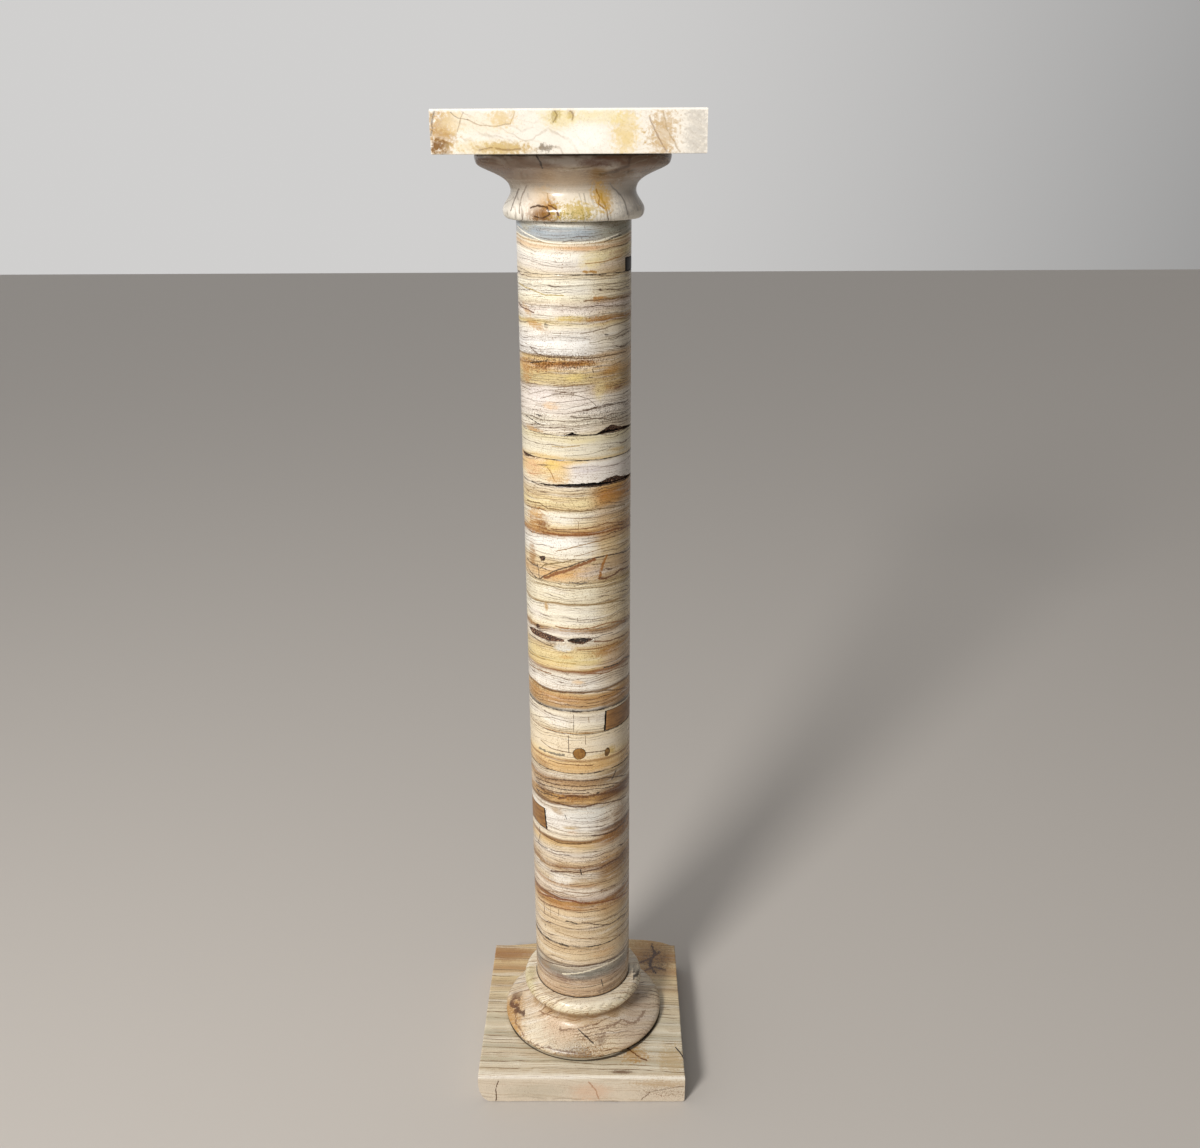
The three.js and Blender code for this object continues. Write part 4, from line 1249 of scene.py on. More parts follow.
def curve(points, steps):
    made = []
    for i in range(1, steps + 1):
        t = i / steps
        ways = [np.array(p, float) for p in points]
        while len(ways) > 1:
            ways = [a * (1 - t) + b * t for a, b in zip(ways, ways[1:])]
        made.append(tuple(ways[0]))
    return made


# (radius, distance from the slab)
def mouldingProfile(bowl, neck, lip, tuck):
    edge = 9
    profile = [(bowl - 18, 0.0), (bowl - 2.3 - tuck, 0.0), (bowl - 2 - tuck, 0.25)]
    profile += curve([(bowl - 2 - tuck, 0.25), (bowl + 0.6 - tuck * 0.8, 1.5 + tuck * 0.1),
                      (bowl + 0.3 + tuck * 0.1, 4 + tuck * 0.2), (bowl - 1.6, edge)], 12)
    profile += curve([(bowl - 1.6, edge), (bowl - 4, 14.5), (neck + 7, 18.5), (neck + 1.5, 28)], 26)
    profile += curve([(neck + 1.5, 28), (neck, 31), (neck, 34)], 6)
    profile += curve([(neck, 34), (neck, 40), (lip - 0.4, 45.5), (lip, 51.5)], 16)
    profile += curve([(lip, 51.5), (lip, 56), (lip - 2.5, mouldingTall), (lip - 6.5, mouldingTall)], 12)
    profile += [(radius, mouldingTall) for radius in (lip - 10, 56.0, 30.0)]
    return profile


def mouldingMesh(node, roughLip):
    low, high = (corner[2] for corner in boxOf(node))
    profile = mouldingProfile(**mouldings[node])
    if node == "capital":
        profile = [(radius, high - away) for radius, away in reversed(profile)]
    else:
        profile = [(radius, low + away) for radius, away in profile]
    radius, height = (np.array(v) for v in zip(*profile))
    angles = np.radians(np.arange(0, 360, 1.25))
    angle, rise = np.meshgrid(angles, height)
    reach = np.repeat(radius[:, None], len(angles), axis=1)
    slack = 0.1 * (1 + ragged(angle * 60, rise, 9.0))
    lipTop = high if node == "base_moulding" else low
    onLip = np.exp(-((np.abs(rise - lipTop) - 5) / 3.5) ** 2)
    onLip = onLip * np.exp(-((reach - mouldings[node]["lip"]) / 5) ** 2)
    chips = np.clip(ragged(angle * 62, rise, 1.6) + 0.15, 0, 1) * (0.4 + 0.6 * np.clip(np.cos(angle), 0, 1))
    reach = reach - slack - roughLip * onLip * chips
    rings = np.stack([reach * np.sin(angle), -reach * np.cos(angle), rise], axis=2)
    return ringMesh(node + "_stone", rings, 50.0), low, high


# Where a pixel's sight line first meets a moulding, as a place seen from the front: (x, height).
# The line is walked in small steps, in mm from the camera.
walkFrom = 1000
walkStep = 0.4
walkSteps = 1900
offPiece = (400.0, 0.0)


def onMoulding(pixel, node):
    low, high = (corner[2] for corner in boxOf(node))
    profile = mouldingProfile(**mouldings[node])
    flip = node == "capital"
    eye = Vector(view["place"])
    ray = sightLine(pixel).normalized()
    for step in range(walkSteps):
        point = eye + ray * (walkFrom + step * walkStep)
        away = high - point.z if flip else point.z - low
        if 0 <= away <= mouldingTall:
            radii = [r for r, a in profile[2:-3]]
            aways = [a for r, a in profile[2:-3]]
            if math.hypot(point.x, point.y) < np.interp(away, aways, radii):
                return point.x, point.z
    return offPiece


# Recipes for the mouldings: bands are (height in mm, colour) stops. lean is the direction the fine
# layers are stacked in, bowlLean the one they turn to in the bowl.
mouldingRecipes = {}
mouldingRecipes["base_moulding"] = {
    # the darker stops at the foot against the slab (36) and in the neck under the lip (72) are painted shade
    "bands": {36: "#9c7852", 42: "#dcc6a6", 48: "#ecdcc2", 54: "#eadac2", 60: "#ead8c0", 66: "#d2b898",
              72: "#a88a6a", 78: "#c8ac86", 83: "#efe2c6", 90: "#f2e6cc", 96: "#f2e6d0"},
    "slow": 4.0, "quick": 2.4, "spacing": 3.4, "run": 60.0, "swirl": 5.0, "lines": 0.62, "toned": 0.5,
    "darkLine": "#b0824a", "toneLine": "#d2b08a", "deepLine": "#7a4e24", "lean": (-0.14, 0.75, 0.45),
    "rough": 0.27, "crystal": 1.0,
    "stains": [
        stain(centre=(514, 1002), reach=(14, 16), tint="#d8a860", strength=0.65, ragged=1.6),
        stain(centre=(512, 1018), reach=(12, 12), tint="#c9974f", strength=0.7, ragged=2.2),
        stain(centre=(575, 1046), reach=(34, 10), tint="#8a5c38", strength=0.7, grains=0.8),
        stain(centre=(572, 1054), reach=(26, 6), tint="#5e4030", strength=0.7, ragged=1.8),
        stain(centre=(529, 972), reach=(8, 12), tint="#cdbf86", strength=0.6),
        stain(centre=(640, 1030), reach=(24, 22), tint="#d2bba8", strength=0.55),
        stain(centre=(601, 1038), reach=(6, 2.4), tint="#7b5238", strength=0.6, ragged=1.6),
        stain(centre=(592, 1004), reach=(28, 5), tint="#f1e6d2", strength=0.7, ragged=1.8),
        stain(centre=(570, 1050), reach=(44, 8), tint="#d8a85c", strength=0.7, grains=0.6),
        stain(centre=(548, 1040), reach=(30, 7), tint="#f3e8d4", strength=0.6, ragged=1.8),
        stain(centre=(560, 1030), reach=(18, 6), tint="#e2c3a6", strength=0.5, ragged=1.4),
    ],
    "veins": [
        vein(points=((579, 1028), (586, 1034), (593, 1040)), tint="dark", width=0.6),
        vein(points=((633, 964), (636, 966), (639, 968)), tint="dark", width=0.8),
        vein(points=((510, 1007), (518, 1008), (524, 1012)), tint="#6d4322", width=0.7),
        vein(points=((512, 998), (517, 1012), (516, 1024), (524, 1034)), tint="#8a5a30", width=0.7,
             broken=2.4, strength=0.7),
        vein(points=((514, 986), (520, 996), (519, 1004)), tint="#8a5a30", width=0.6, broken=2.2),
        vein(points=((528, 1040), (548, 1048), (575, 1053)), tint="#7b5238", width=0.8, broken=2.6,
             strength=0.7),
        vein(points=((540, 1012), (556, 1018), (580, 1020)), tint="#a67e5c", width=0.6, broken=2.0),
        vein(points=((600, 1028), (622, 1022), (645, 1010)), tint="#9c7a62", width=0.6, broken=2.2,
             strength=0.7),
        vein(points=((560, 1030), (584, 1026), (610, 1018)), tint="#8f6a4c", width=0.6, broken=2.2,
             strength=0.7),
    ],
}
mouldingRecipes["capital"] = {
    # the bands darken towards the top slab (1018 up): partly the bowl's brown-grey stone, partly painted
    # shade under the slab
    "bands": {981: "#efe9dc", 988: "#f5f0e6", 998: "#f1eadd", 1006: "#e6dccd", 1012: "#cfc0ae",
              1018: "#b39a82", 1024: "#9a7e66", 1030: "#9c806a", 1036: "#876a54", 1041: "#5a4030"},
    "slow": 4.0, "quick": 2.0, "spacing": 8.5, "run": 45.0, "swirl": 7.0, "lines": 0.34, "toned": 0.6,
    "darkLine": "#b3a898", "toneLine": "#bdb2a4", "deepLine": "#8a7664", "lean": (1.0, 0.15, 0.16),
    "bowlLean": (0.1, -0.1, 0.9), "rough": 0.16, "crystal": 0.2,
    "stains": [
        stain(centre=(544, 212), reach=(15, 10), tint="#c48c2a", ragged=1.2),
        stain(centre=(541, 214), reach=(10, 6), tint="#8c5c18", strength=0.8, ragged=1.8),
        stain(centre=(540, 196), reach=(12, 8), tint="#dcb888", strength=0.6, ragged=1.6),
        stain(centre=(576, 212), reach=(18, 8), tint="#d2b448", strength=0.8, ragged=2.0),
        stain(centre=(572, 216), reach=(20, 5), tint="#8f8a3c", strength=0.7, grains=0.7),
        stain(centre=(602, 196), reach=(9, 10), tint="#dcae3c", strength=0.8, slant=-0.6, ragged=1.6),
        stain(centre=(602, 161), reach=(17, 4), tint="#7a4a34", strength=0.7, ragged=1.4),
        stain(centre=(630, 195), reach=(13, 16), tint="#c9c5c2", strength=0.7, ragged=1.4),
        stain(centre=(520, 168), reach=(26, 9), tint="#a08672", strength=0.6, ragged=1.2),
        stain(centre=(565, 178), reach=(22, 7), tint="#d9c4ac", strength=0.6),
        stain(centre=(525, 200), reach=(14, 12), tint="#efe7dd", strength=0.6),
    ],
    "veins": [
        vein(points=((536, 156), (540, 162), (543, 168)), tint="#3c2a20", width=0.9, broken=1.6),
        vein(points=((630, 157), (628, 165), (615, 170), (600, 174)), tint="#5e4434", width=1.4, soft=0.9,
             strength=0.7),
        vein(points=((519, 190), (514, 200), (511, 212)), tint="#9b8b7d", width=0.8),
        vein(points=((527, 185), (521, 200), (520, 214)), tint="#b5a698", width=0.7),
        vein(points=((531, 208), (538, 205), (547, 207), (550, 214), (543, 218), (535, 216)),
             tint="#54300f", width=0.9),
        vein(points=((548, 205), (556, 209), (559, 216)), tint="#7a4c1c", width=0.8),
        vein(points=((596, 189), (600, 196), (598, 203), (605, 208)), tint="#b98a2c", width=0.8,
             broken=1.8),
        vein(points=((610, 182), (622, 198), (628, 214)), tint="#a8a29c", width=0.9),
    ],
}


# A place seen from the front
def buildFrontPlace():
    group, given, out = newGroup("frontPlace", [], [("Place", "Vector"), ("Point", "Vector"),
                                                    ("Front", "Float")])
    point = objectPoint(group)
    x, y, z = splitXYZ(group, point)
    plug(group, out["Place"], joinXYZ(group, x, z, 0.0))
    plug(group, out["Point"], point)
    plug(group, out["Front"], ease(group, y, 15.0, -15.0))
    return group


def buildTopPlace():
    group, given, out = newGroup("topPlace", [("Height", "Float", 36.0), ("Face", "Float", -120.0)],
                                 [("Place", "Vector"), ("OnTop", "Float"), ("OnFront", "Float")])
    point = objectPoint(group)
    x, y, z = splitXYZ(group, point)
    plug(group, out["Place"], joinXYZ(group, x, y, 0.0))
    under = minus(group, given["Height"], z)
    plug(group, out["OnTop"], ease(group, under, 1.6, 0.3))
    behind = minus(group, y, given["Face"])
    plug(group, out["OnFront"], ease(group, behind, 3.0, 1.0))
    return group


frontPlace = buildFrontPlace()
topPlace = buildTopPlace()
streakyOnSlabs = 0.35  # how much of a stain on a moulding or slab follows the fine layers


def mouldingStone(node, low, high, recipe):
    material, tree, shader = newMaterial(slotOf[node])
    spot = useGroup(tree, frontPlace)
    bent = useGroup(tree, wander, Place=spot["Place"], Point=spot["Point"], Slow=recipe["slow"],
                    Quick=recipe["quick"])
    across, height, spare = splitXYZ(tree, bent["Place"])
    colour = bandRamp(tree, height, low, high, recipe["bands"])
    x, y, z = splitXYZ(tree, spot["Point"])
    laid = vectorCalc(tree, "DOT_PRODUCT", spot["Point"], recipe["lean"])
    if "bowlLean" in recipe:
        other = vectorCalc(tree, "DOT_PRODUCT", spot["Point"], recipe["bowlLean"])
        other = minus(tree, other, laid)
        laid = calc(tree, "MULTIPLY_ADD", other, ease(tree, z, 1006.0, 1020.0), laid)
    laid = plus(tree, laid, minus(tree, height, z))
    colour, streak = addLayers(tree, colour, spot["Point"], laid, recipe)

    def where(pixel):
        return onMoulding(pixel, node)

    grit = cloud(tree, spot["Point"], 0.75, 3.0, 0.7)
    given = (bent["Place"], bent["Rag"], where, spot["Front"])
    colour = addMarks(tree, colour, recipe["stains"], addStain, *given, streak=streak, grit=grit,
                      streaky=streakyOnSlabs)
    colour = addMarks(tree, colour, recipe["veins"], addVein, *given)
    # Dark band within about 2.6 mm of the slab on the bowl's outer part: glue and painted shade where the
    # bowl meets the slab. Dark line where the lip meets the shaft: glue.
    slabSide = minus(tree, z, low) if node == "base_moulding" else minus(tree, high, z)
    far = vectorCalc(tree, "LENGTH", joinXYZ(tree, x, y, 0.0))
    wide = ease(tree, far, shaftRadius + 6.0, shaftRadius + 14.0)
    glueAndShade = times(tree, ease(tree, slabSide, 2.6, 0.9), wide)
    glueAndShade = calc(tree, "MAXIMUM", glueAndShade, ease(tree, far, shaftRadius + 1.3, shaftRadius + 0.5))
    colour = blend(tree, times(tree, glueAndShade, 0.9), colour, "dark")
    finishStone(tree, shader, colour, spot["Point"], rough=recipe["rough"], crystal=recipe["crystal"])
    return material


for mouldingName, roughLip in (("base_moulding", 1.6), ("capital", 0.3)):
    mesh, low, high = mouldingMesh(mouldingName, roughLip)
    addPiece(mouldingName, mesh, mouldingStone(mouldingName, low, high, mouldingRecipes[mouldingName]))
print("mouldings built")


# The two slabs. Rounds are (width, height) of the worn arris at the foot and the top of each side.
slabs = {
    "base_slab": {
        "bow": 14, "bowPeak": 40, "bowLeft": -100, "bowRight": 114,
        "foot": {"left": (15, 27), "right": (4, 4), "front": (0.8, 0.8), "back": (0.8, 0.8)},
        "top": {"left": (1.2, 1.2), "right": (1.2, 1.2), "front": (4.5, 4.5), "back": (1.5, 1.5)},
        "uneven": 0.25,
    },
    "top_slab": {
        "bow": 0, "bowPeak": 0, "bowLeft": -100, "bowRight": 100,
        "foot": {"left": (1.0, 1.0), "right": (1.0, 1.0), "front": (0.9, 0.9), "back": (0.8, 0.8)},
        "top": {"left": (0.9, 0.9), "right": (0.9, 0.9), "front": (0.9, 0.9), "back": (0.9, 0.9)},
        "uneven": 0.2,
    },
}
spalls = [((437, 155), 3.0), ((445, 154.5), 3.2), ((450, 154), 3.6), ((433, 118), 2.4)]  # pixel, mm
spallDeep = 1.8
sideSteps = 130
arrisRows = [0, 0.08, 0.2, 0.4, 0.7, 1.1, 1.6, 2.3, 3.2, 4.5]  # mm from each end
faceRows = [6, 8, 10.5, 13.5, 17, 20.5, 24, 27.5, 30]  # mm from the foot
capShares = [0.5, 0.8, 0.93, 0.985]


def inset(side, heightFromEnd):
    width, tall = side
    share = np.clip(1 - heightFromEnd / tall, 0, 1)
    return width * (1 - np.sqrt(np.clip(1 - share ** 2, 0, 1)))


# The bowed back edge of a slab's plan: how far it stands behind the straight line
def bowAt(x, slab, half):
    peak = slab["bow"]
    left = curve([(slab["bowLeft"], 0), (slab["bowLeft"] + 40, peak * 0.3), (slab["bowPeak"] - 50, peak),
                  (slab["bowPeak"], peak)], 24)
    right = curve([(slab["bowPeak"], peak), (slab["bowPeak"] + 38, peak),
                   (slab["bowRight"] - 10, peak * 0.6), (slab["bowRight"], 0)], 24)
    line = [(-half, 0), (slab["bowLeft"], 0)] + left + right + [(half, 0)]
    return np.interp(x, [p[0] for p in line], [p[1] for p in line])


def slabMesh(node):
    slab = slabs[node]
    lows, highs = boxOf(node)
    low, high = lows[2], highs[2]
    half = highs[0]
    run = np.linspace(-half, half, sideSteps, endpoint=False)
    fixed = np.full(sideSteps, half)
    x = np.concatenate([run, fixed, -run, -fixed])
    y = np.concatenate([-fixed, run, fixed, -run])
    y = np.where(y > half - 1e-6, y + bowAt(x, slab, half), y)
    heights = [low + rise for rise in arrisRows + faceRows]
    heights = [height for height in heights if height < high - arrisRows[-1] - 0.1]
    heights += [high - fall for fall in reversed(arrisRows)]
    rings = []
    for height in heights:
        cut = {side: inset(slab["foot"][side], height - low) + inset(slab["top"][side], high - height)
               for side in ("left", "right", "front", "back")}
        across = np.where(x < 0, x * (1 - cut["left"] / half), x * (1 - cut["right"] / half))
        deep = np.where(y < 0, y * (1 - cut["front"] / half), y * (1 - cut["back"] / half))
        fromEnd = min(height - low, high - height)
        shrink = slab["uneven"] * (1 + ragged(x + y * 0.7, np.full(x.shape, height), 11.0)) / half
        shrink += np.clip(ragged(x * 1.1 - y, np.full(x.shape, height * 0.4), 2.2), 0, 1) * (
            0.5 * np.clip(1 - fromEnd / 1.6, 0, 1)) / half
        rings.append(np.stack([across * (1 - shrink), deep * (1 - shrink), np.full(x.shape, height)],
                              axis=1))
    rings = np.array(rings)
    if node == "top_slab":
        for pixel, reach in spalls:
            spotX, spotZ = onFront(pixel, -half)
            near = np.hypot(rings[:, :, 0] - spotX, rings[:, :, 2] - spotZ)
            bite = np.clip(1 - near / reach, 0, 1)
            bite *= (rings[:, :, 1] < 0) * (np.abs(rings[:, :, 1] + half) < 3)
            rings[:, :, 1] += bite * spallDeep
    foot = [rings[0] * np.array([share, share, 1]) for share in capShares]
    crown = [rings[-1] * np.array([share, share, 1]) for share in reversed(capShares)]
    rings = np.concatenate([np.array(foot), rings, np.array(crown)])
    return ringMesh(node + "_stone", rings, 50.0), low, high, half


# Recipes for the slabs. bands are (mm along lean, colour) stops from low to high: on the foot slab
# they run from left to right, one behind the other. marked is the usual strength of a vein, front
# the plainer stone of the front face, glueAndShadowRing the radius of the dark line round the moulding,
# glue and painted shadow, and arris the width of the painted highlight along the worn front edge.
slabRecipes = {}
slabRecipes["base_slab"] = {
    "bands": {-150: "#e6d6c4", -125: "#ecdcca", -108: "#e6d6c2", -100: "#f2e8d6", -92: "#e0d0b6",
              -84: "#f0e6d2", -76: "#d2c6ac", -66: "#eee0c8", -56: "#cfc4ac", -46: "#eee2cc",
              -34: "#cec5ae", -22: "#ece0c8", -8: "#d2c6ac", 6: "#efe2c8", 22: "#d4c2a2", 38: "#eeddbc",
              54: "#cfb28a", 70: "#ead4ac", 86: "#cfa676", 100: "#ead0a4", 116: "#c4945c", 130: "#e8cca0",
              160: "#dcbc8a"},
    "lean": (0.04, 1.0, 0.5), "low": -150.0, "high": 160.0, "slow": 2.6, "quick": 1.0, "spacing": 4.6,
    "run": 170.0, "swirl": 4.0, "lines": 0.5, "toned": 0.5, "darkLine": "#b8905c", "deepLine": "#8a6032",
    "toneLine": "#c2b292", "lightLine": "#f6efe0", "front": ("#ddd0bd", 0.8), "rough": 0.2, "crystal": 0.45,
    # glueAndShadowRing: glue and painted shadow; arris: width of the painted highlight
    "glueAndShadowRing": 93.5, "arris": 4.5, "marked": 1.0,
    "topStains": [
        stain(centre=(505, 954), reach=(30, 14), tint="#b9824a", strength=0.7),
        stain(centre=(650, 955), reach=(32, 34), tint="#c08a3c", strength=0.7, ragged=1.4),
        stain(centre=(654, 960), reach=(17, 24), tint="#5e3a18", strength=0.85, grains=1.0),
        stain(centre=(634, 1054), reach=(13, 12), tint="#c8943c", strength=0.75, ragged=2.2),
        stain(centre=(672, 1058), reach=(14, 22), tint="#d0b07c", strength=0.6, ragged=1.8),
        stain(centre=(622, 1072), reach=(11, 3), tint="#7a4f2e", strength=0.8),
    ],
    "frontStains": [
        stain(centre=(664, 1092), reach=(28, 11), tint="#9c6f48", strength=0.8, grains=0.7),
        stain(centre=(660, 1084), reach=(30, 5), tint="#cdb08c", strength=0.7, ragged=1.8),
        stain(centre=(590, 1092), reach=(22, 12), tint="#e2bfa4", strength=0.6),
        stain(centre=(536, 1092), reach=(34, 10), tint="#c8bda8", strength=0.5),
    ],
    "topVeins": [
        vein(points=((652, 944), (655, 954), (650, 964), (655, 973)), tint="#5e3a1a", width=1.9,
             broken=2.4),
        vein(points=((640, 962), (651, 958), (660, 952)), tint="#6d4420", width=1.7, broken=2.4),
        vein(points=((644, 971), (654, 967), (664, 970)), tint="#6d4420", width=1.6, broken=2.4),
        vein(points=((676, 1047), (680, 1052), (684, 1058)), tint="dark", width=0.9),
        vein(points=((626, 1047), (636, 1054), (646, 1060)), tint="#8a5a24", width=1.2, broken=1.6),
    ],
    "frontVeins": [
        vein(points=((499, 1081), (496, 1090), (496, 1101)), tint="#6d4a2c", width=0.7, broken=1.8),
        vein(points=((589, 1082), (596, 1090), (599, 1099)), tint="#c08a64", width=0.8, broken=1.6,
             strength=0.7),
        vein(points=((642, 1101), (650, 1092), (666, 1089), (683, 1086)), tint="#7a5230", width=0.7,
             broken=2.2, strength=0.7),
    ],
}
slabRecipes["top_slab"] = {
    "bands": {900: "#f4eee4", 960: "#fbf8f3", 985: "#fcfbf8", 1000: "#f6f0e2", 1012: "#fdfbf8",
              1025: "#fbf7ef", 1034: "#f0ebe4", 1046: "#fdfcfa", 1060: "#faf4e6", 1072: "#fefdfa",
              1090: "#f8f2e4", 1110: "#fdfbf6", 1140: "#f6eeda", 1180: "#fbf7ef"},
    "lean": (0.3, 0.5, 0.85), "low": 900.0, "high": 1180.0, "slow": 14.0, "quick": 4.0, "spacing": 9.0,
    "run": 50.0, "swirl": 5.0, "lines": 0.13, "toned": 0.6, "darkLine": "#cfc0a6", "deepLine": "#b39a78",
    # arris: width of the painted highlight along the front edge
    "toneLine": "#dcd2c2", "lightLine": "#fdfbf6", "rough": 0.16, "crystal": 0.25, "arris": 3.0,
    "marked": 0.5,
    "frontStains": [
        stain(centre=(441, 136), reach=(11, 19), tint="#c99a42", strength=0.85, ragged=1.8),
        stain(centre=(438, 147), reach=(7, 5), tint="#8a5a20", strength=0.8, ragged=1.8),
        stain(centre=(452, 122), reach=(10, 10), tint="#e9cf9a", strength=0.6, ragged=1.6),
        stain(centre=(502, 149), reach=(20, 4.5), tint="#b9831c", strength=0.8, ragged=1.8),
        stain(centre=(492, 149), reach=(30, 6), tint="#ead49a", strength=0.6),
        stain(centre=(480, 124), reach=(30, 8), tint="#f3e6cf", strength=0.6),
        stain(centre=(502, 118), reach=(10, 7), tint="#e4c47c", strength=0.6, ragged=1.8),
        stain(centre=(546, 148.5), reach=(7, 3), tint="#7d6a52", strength=0.7, ragged=2.2),
        stain(centre=(555, 114), reach=(4, 6), tint="#94711a", strength=0.85, slant=0.4, ragged=1.6),
        stain(centre=(570, 114), reach=(3, 5), tint="#a8761a", strength=0.8, ragged=1.6),
        stain(centre=(560, 117), reach=(15, 9), tint="#ecd894", strength=0.6),
        stain(centre=(626, 132), reach=(11, 17), tint="#eacb74", strength=0.65, ragged=1.4),
        stain(centre=(600, 118), reach=(24, 6), tint="#f0e0ac", strength=0.6, ragged=1.2),
        stain(centre=(663, 134), reach=(11, 18), tint="#cfa75e", strength=0.7, ragged=2.2),
        stain(centre=(697, 132), reach=(9, 20), tint="#c9c3bb", strength=0.6, ragged=1.8),
        stain(centre=(584, 138), reach=(16, 12), tint="#fdfaf2", strength=0.7),
    ],
    "frontVeins": [
        vein(points=((450, 113), (458, 119), (468, 121)), tint="#6d5030", width=0.5),
        vein(points=((457, 133), (460, 122), (464, 113)), tint="#a8865c", width=0.5, broken=1.6),
        vein(points=((468, 121), (480, 126), (497, 127), (511, 124)), tint="#b08c5c", width=0.6,
             broken=1.4),
        vein(points=((511, 124), (514, 112), (510, 107)), tint="#c9a25c", width=0.6, broken=1.6),
        vein(points=((650, 118), (655, 132), (666, 152)), tint="#94622c", width=0.7, broken=2.2),
        vein(points=((664, 112), (667, 130), (680, 152)), tint="#b99a6c", width=0.7, broken=2.2),
        vein(points=((553, 109), (557, 115), (553, 122)), tint="#7a5210", width=0.7, broken=1.8),
        vein(points=((567, 109), (572, 114), (571, 120)), tint="#8a5c14", width=0.7, broken=1.8),
        vein(points=((434.6, 110), (431.5, 122), (433, 130), (430.3, 136)), tint="#4a3020", width=0.9,
             broken=1.4),
        vein(points=((480, 151), (492, 148), (508, 151), (520, 149)), tint="#8f5f14", width=0.8, broken=2.2),
    ],
}


def slabStone(node, low, high, half, recipe):
    material, tree, shader = newMaterial(slotOf[node])
    spot = useGroup(tree, frontPlace)
    faces = useGroup(tree, topPlace, Height=high, Face=-half)
    point = spot["Point"]
    depth = vectorCalc(tree, "DOT_PRODUCT", point, recipe["lean"])
    bent = useGroup(tree, wander, Place=joinXYZ(tree, 0.0, depth, 0.0), Point=point, Slow=recipe["slow"],
                    Quick=recipe["quick"])
    across, height, spare = splitXYZ(tree, bent["Place"])
    colour = bandRamp(tree, height, recipe["low"], recipe["high"], recipe["bands"])
    colour, streak = addLayers(tree, colour, point, height, recipe)
    if "front" in recipe:
        tint, strength = recipe["front"]
        smooth = times(tree, faces["OnFront"], ease(tree, streak, 0.3, 0.7, strength, strength * 0.6))
        colour = blend(tree, smooth, colour, tint)
    places = {
        "top": (faces["Place"], faces["OnTop"], lambda pixel: onLevel(pixel, high)),
        "front": (spot["Place"], faces["OnFront"], lambda pixel: onFront(pixel, -half)),
    }
    bends = {}
    for face, (place, mask, where) in places.items():
        bends[face] = useGroup(tree, wander, Place=place, Point=point, Slow=3.0, Quick=1.6)["Place"]
    grit = cloud(tree, point, 0.6, 3.0, 0.7)
    onlyStains = {"streak": streak, "grit": grit, "streaky": streakyOnSlabs}
    for kind, add, shared in (("Stains", addStain, onlyStains), ("Veins", addVein, {})):
        for face, (place, mask, where) in places.items():
            colour = addMarks(tree, colour, recipe.get(face + kind, []), add, bends[face], bent["Rag"],
                              where, mask, recipe["marked"], **shared)
    x, y, z = splitXYZ(tree, point)
    # Dark line on the slab round the moulding's foot: glue and painted shadow, wider towards +X, away from
    # the key light
    if "glueAndShadowRing" in recipe:
        far = vectorCalc(tree, "LENGTH", joinXYZ(tree, x, y, 0.0))
        off = calc(tree, "ABSOLUTE", minus(tree, far, recipe["glueAndShadowRing"]))
        width = ease(tree, calc(tree, "MULTIPLY_ADD", x, 0.012, bent["Rag"]), 0.0, 1.4, 0.9, 2.3)
        glueShadowLine = ease(tree, off, times(tree, width, 1.3), times(tree, width, 0.6))
        colour = blend(tree, times(tree, times(tree, glueShadowLine, faces["OnTop"]), 0.85), colour, "#2f2018")
    # Painted highlight: a pale band along the top front edge, standing in for the gloss on the rounded arris
    arris = plus(tree, minus(tree, high, z), minus(tree, y, -half))
    colour = blend(tree, ease(tree, arris, recipe["arris"], 1.0, 0.0, 0.75), colour, "#fdfaf4")
    finishStone(tree, shader, colour, point, rough=recipe["rough"], crystal=recipe["crystal"])
    return material


for slabName in ("base_slab", "top_slab"):
    mesh, low, high, half = slabMesh(slabName)
    addPiece(slabName, mesh, slabStone(slabName, low, high, half, slabRecipes[slabName]))
print("slabs built")


# Camera, lights and floor
studio = {
    "keyPlace": (-1.5, -2.6, 2.2), "keySize": 0.8, "keyPower": 108.0, "keyColour": (1.0, 0.98, 0.945),
    "room": (0.93, 0.92, 0.91), "roomSide": (-0.92, 0.36, 0.15), "roomDim": 0.04, "roomBright": 0.68,
    "roomFrom": -0.7, "roomTo": 0.5, "floorColour": "#d2ccc6", "floorRough": 0.7, "floorReach": 9.0,
    "floorDrop": 0.0005, "aimHeight": 0.6, "sensorWidth": 36.0,
}


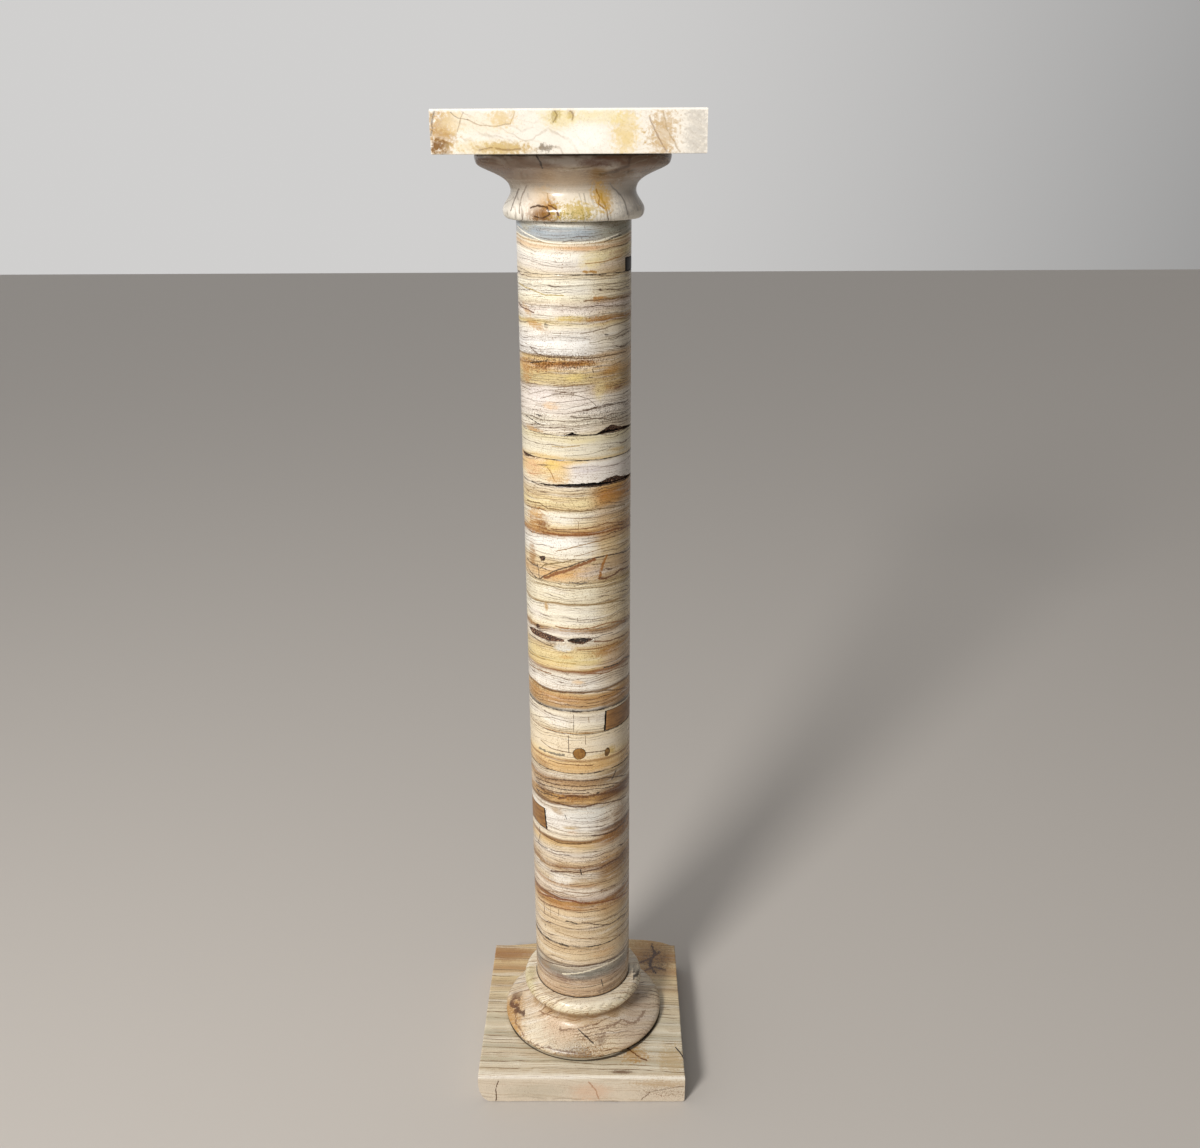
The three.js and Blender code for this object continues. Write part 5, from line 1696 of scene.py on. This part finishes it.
def addCamera():
    camera = bpy.data.objects.new("camera", bpy.data.cameras.new("camera"))
    camera.data.sensor_width = studio["sensorWidth"]
    camera.data.sensor_fit = "HORIZONTAL"
    camera.data.lens = view["focalPixels"] * studio["sensorWidth"] / view["imageWidth"]
    camera.data.clip_end = 50.0
    camera.matrix_world = Matrix.Translation(Vector(view["place"]) * mm) @ viewTurn().to_4x4()
    bpy.context.scene.collection.objects.link(camera)
    bpy.context.scene.camera = camera


def addKeyLight():
    light = bpy.data.lights.new("keyLight", "AREA")
    light.shape = "DISK"
    light.size = studio["keySize"]
    light.energy = studio["keyPower"]
    light.color = studio["keyColour"]
    lamp = bpy.data.objects.new("keyLight", light)
    lamp.location = studio["keyPlace"]
    aim = Vector((0, 0, studio["aimHeight"])) - Vector(studio["keyPlace"])
    lamp.rotation_euler = aim.to_track_quat("-Z", "Y").to_euler()
    bpy.context.scene.collection.objects.link(lamp)


def addFloor():
    reach = studio["floorReach"]
    corners = [(x * reach, y * reach, -studio["floorDrop"])
               for x, y in ((-1, -1), (1, -1), (1, 1), (-1, 1))]
    mesh = bpy.data.meshes.new("floor")
    mesh.from_pydata(corners, [], [(0, 1, 2, 3)])
    floor = bpy.data.objects.new("floor", mesh)
    material, tree, shader = newMaterial("floorPale")
    plug(tree, shader.inputs["Base Color"], studio["floorColour"])
    shader.inputs["Roughness"].default_value = studio["floorRough"]
    mesh.materials.append(material)
    bpy.context.scene.collection.objects.link(floor)


addCamera()
addKeyLight()
addFloor()


# The room's light: brighter from the left, dimmer from the right
def addRoomLight():
    world = bpy.data.worlds.new("studio")
    world.use_nodes = True
    tree = world.node_tree
    direction = tree.nodes.new("ShaderNodeTexCoord").outputs["Generated"]
    side = vectorCalc(tree, "DOT_PRODUCT", direction, studio["roomSide"])
    power = ease(tree, side, studio["roomFrom"], studio["roomTo"], studio["roomDim"], studio["roomBright"])
    back = tree.nodes["Background"]
    back.inputs[0].default_value = (*studio["room"], 1)
    tree.links.new(power, back.inputs[1])
    bpy.context.scene.world = world


addRoomLight()
bpy.context.scene.view_settings.view_transform = "Standard"
print("camera, lights and floor set")
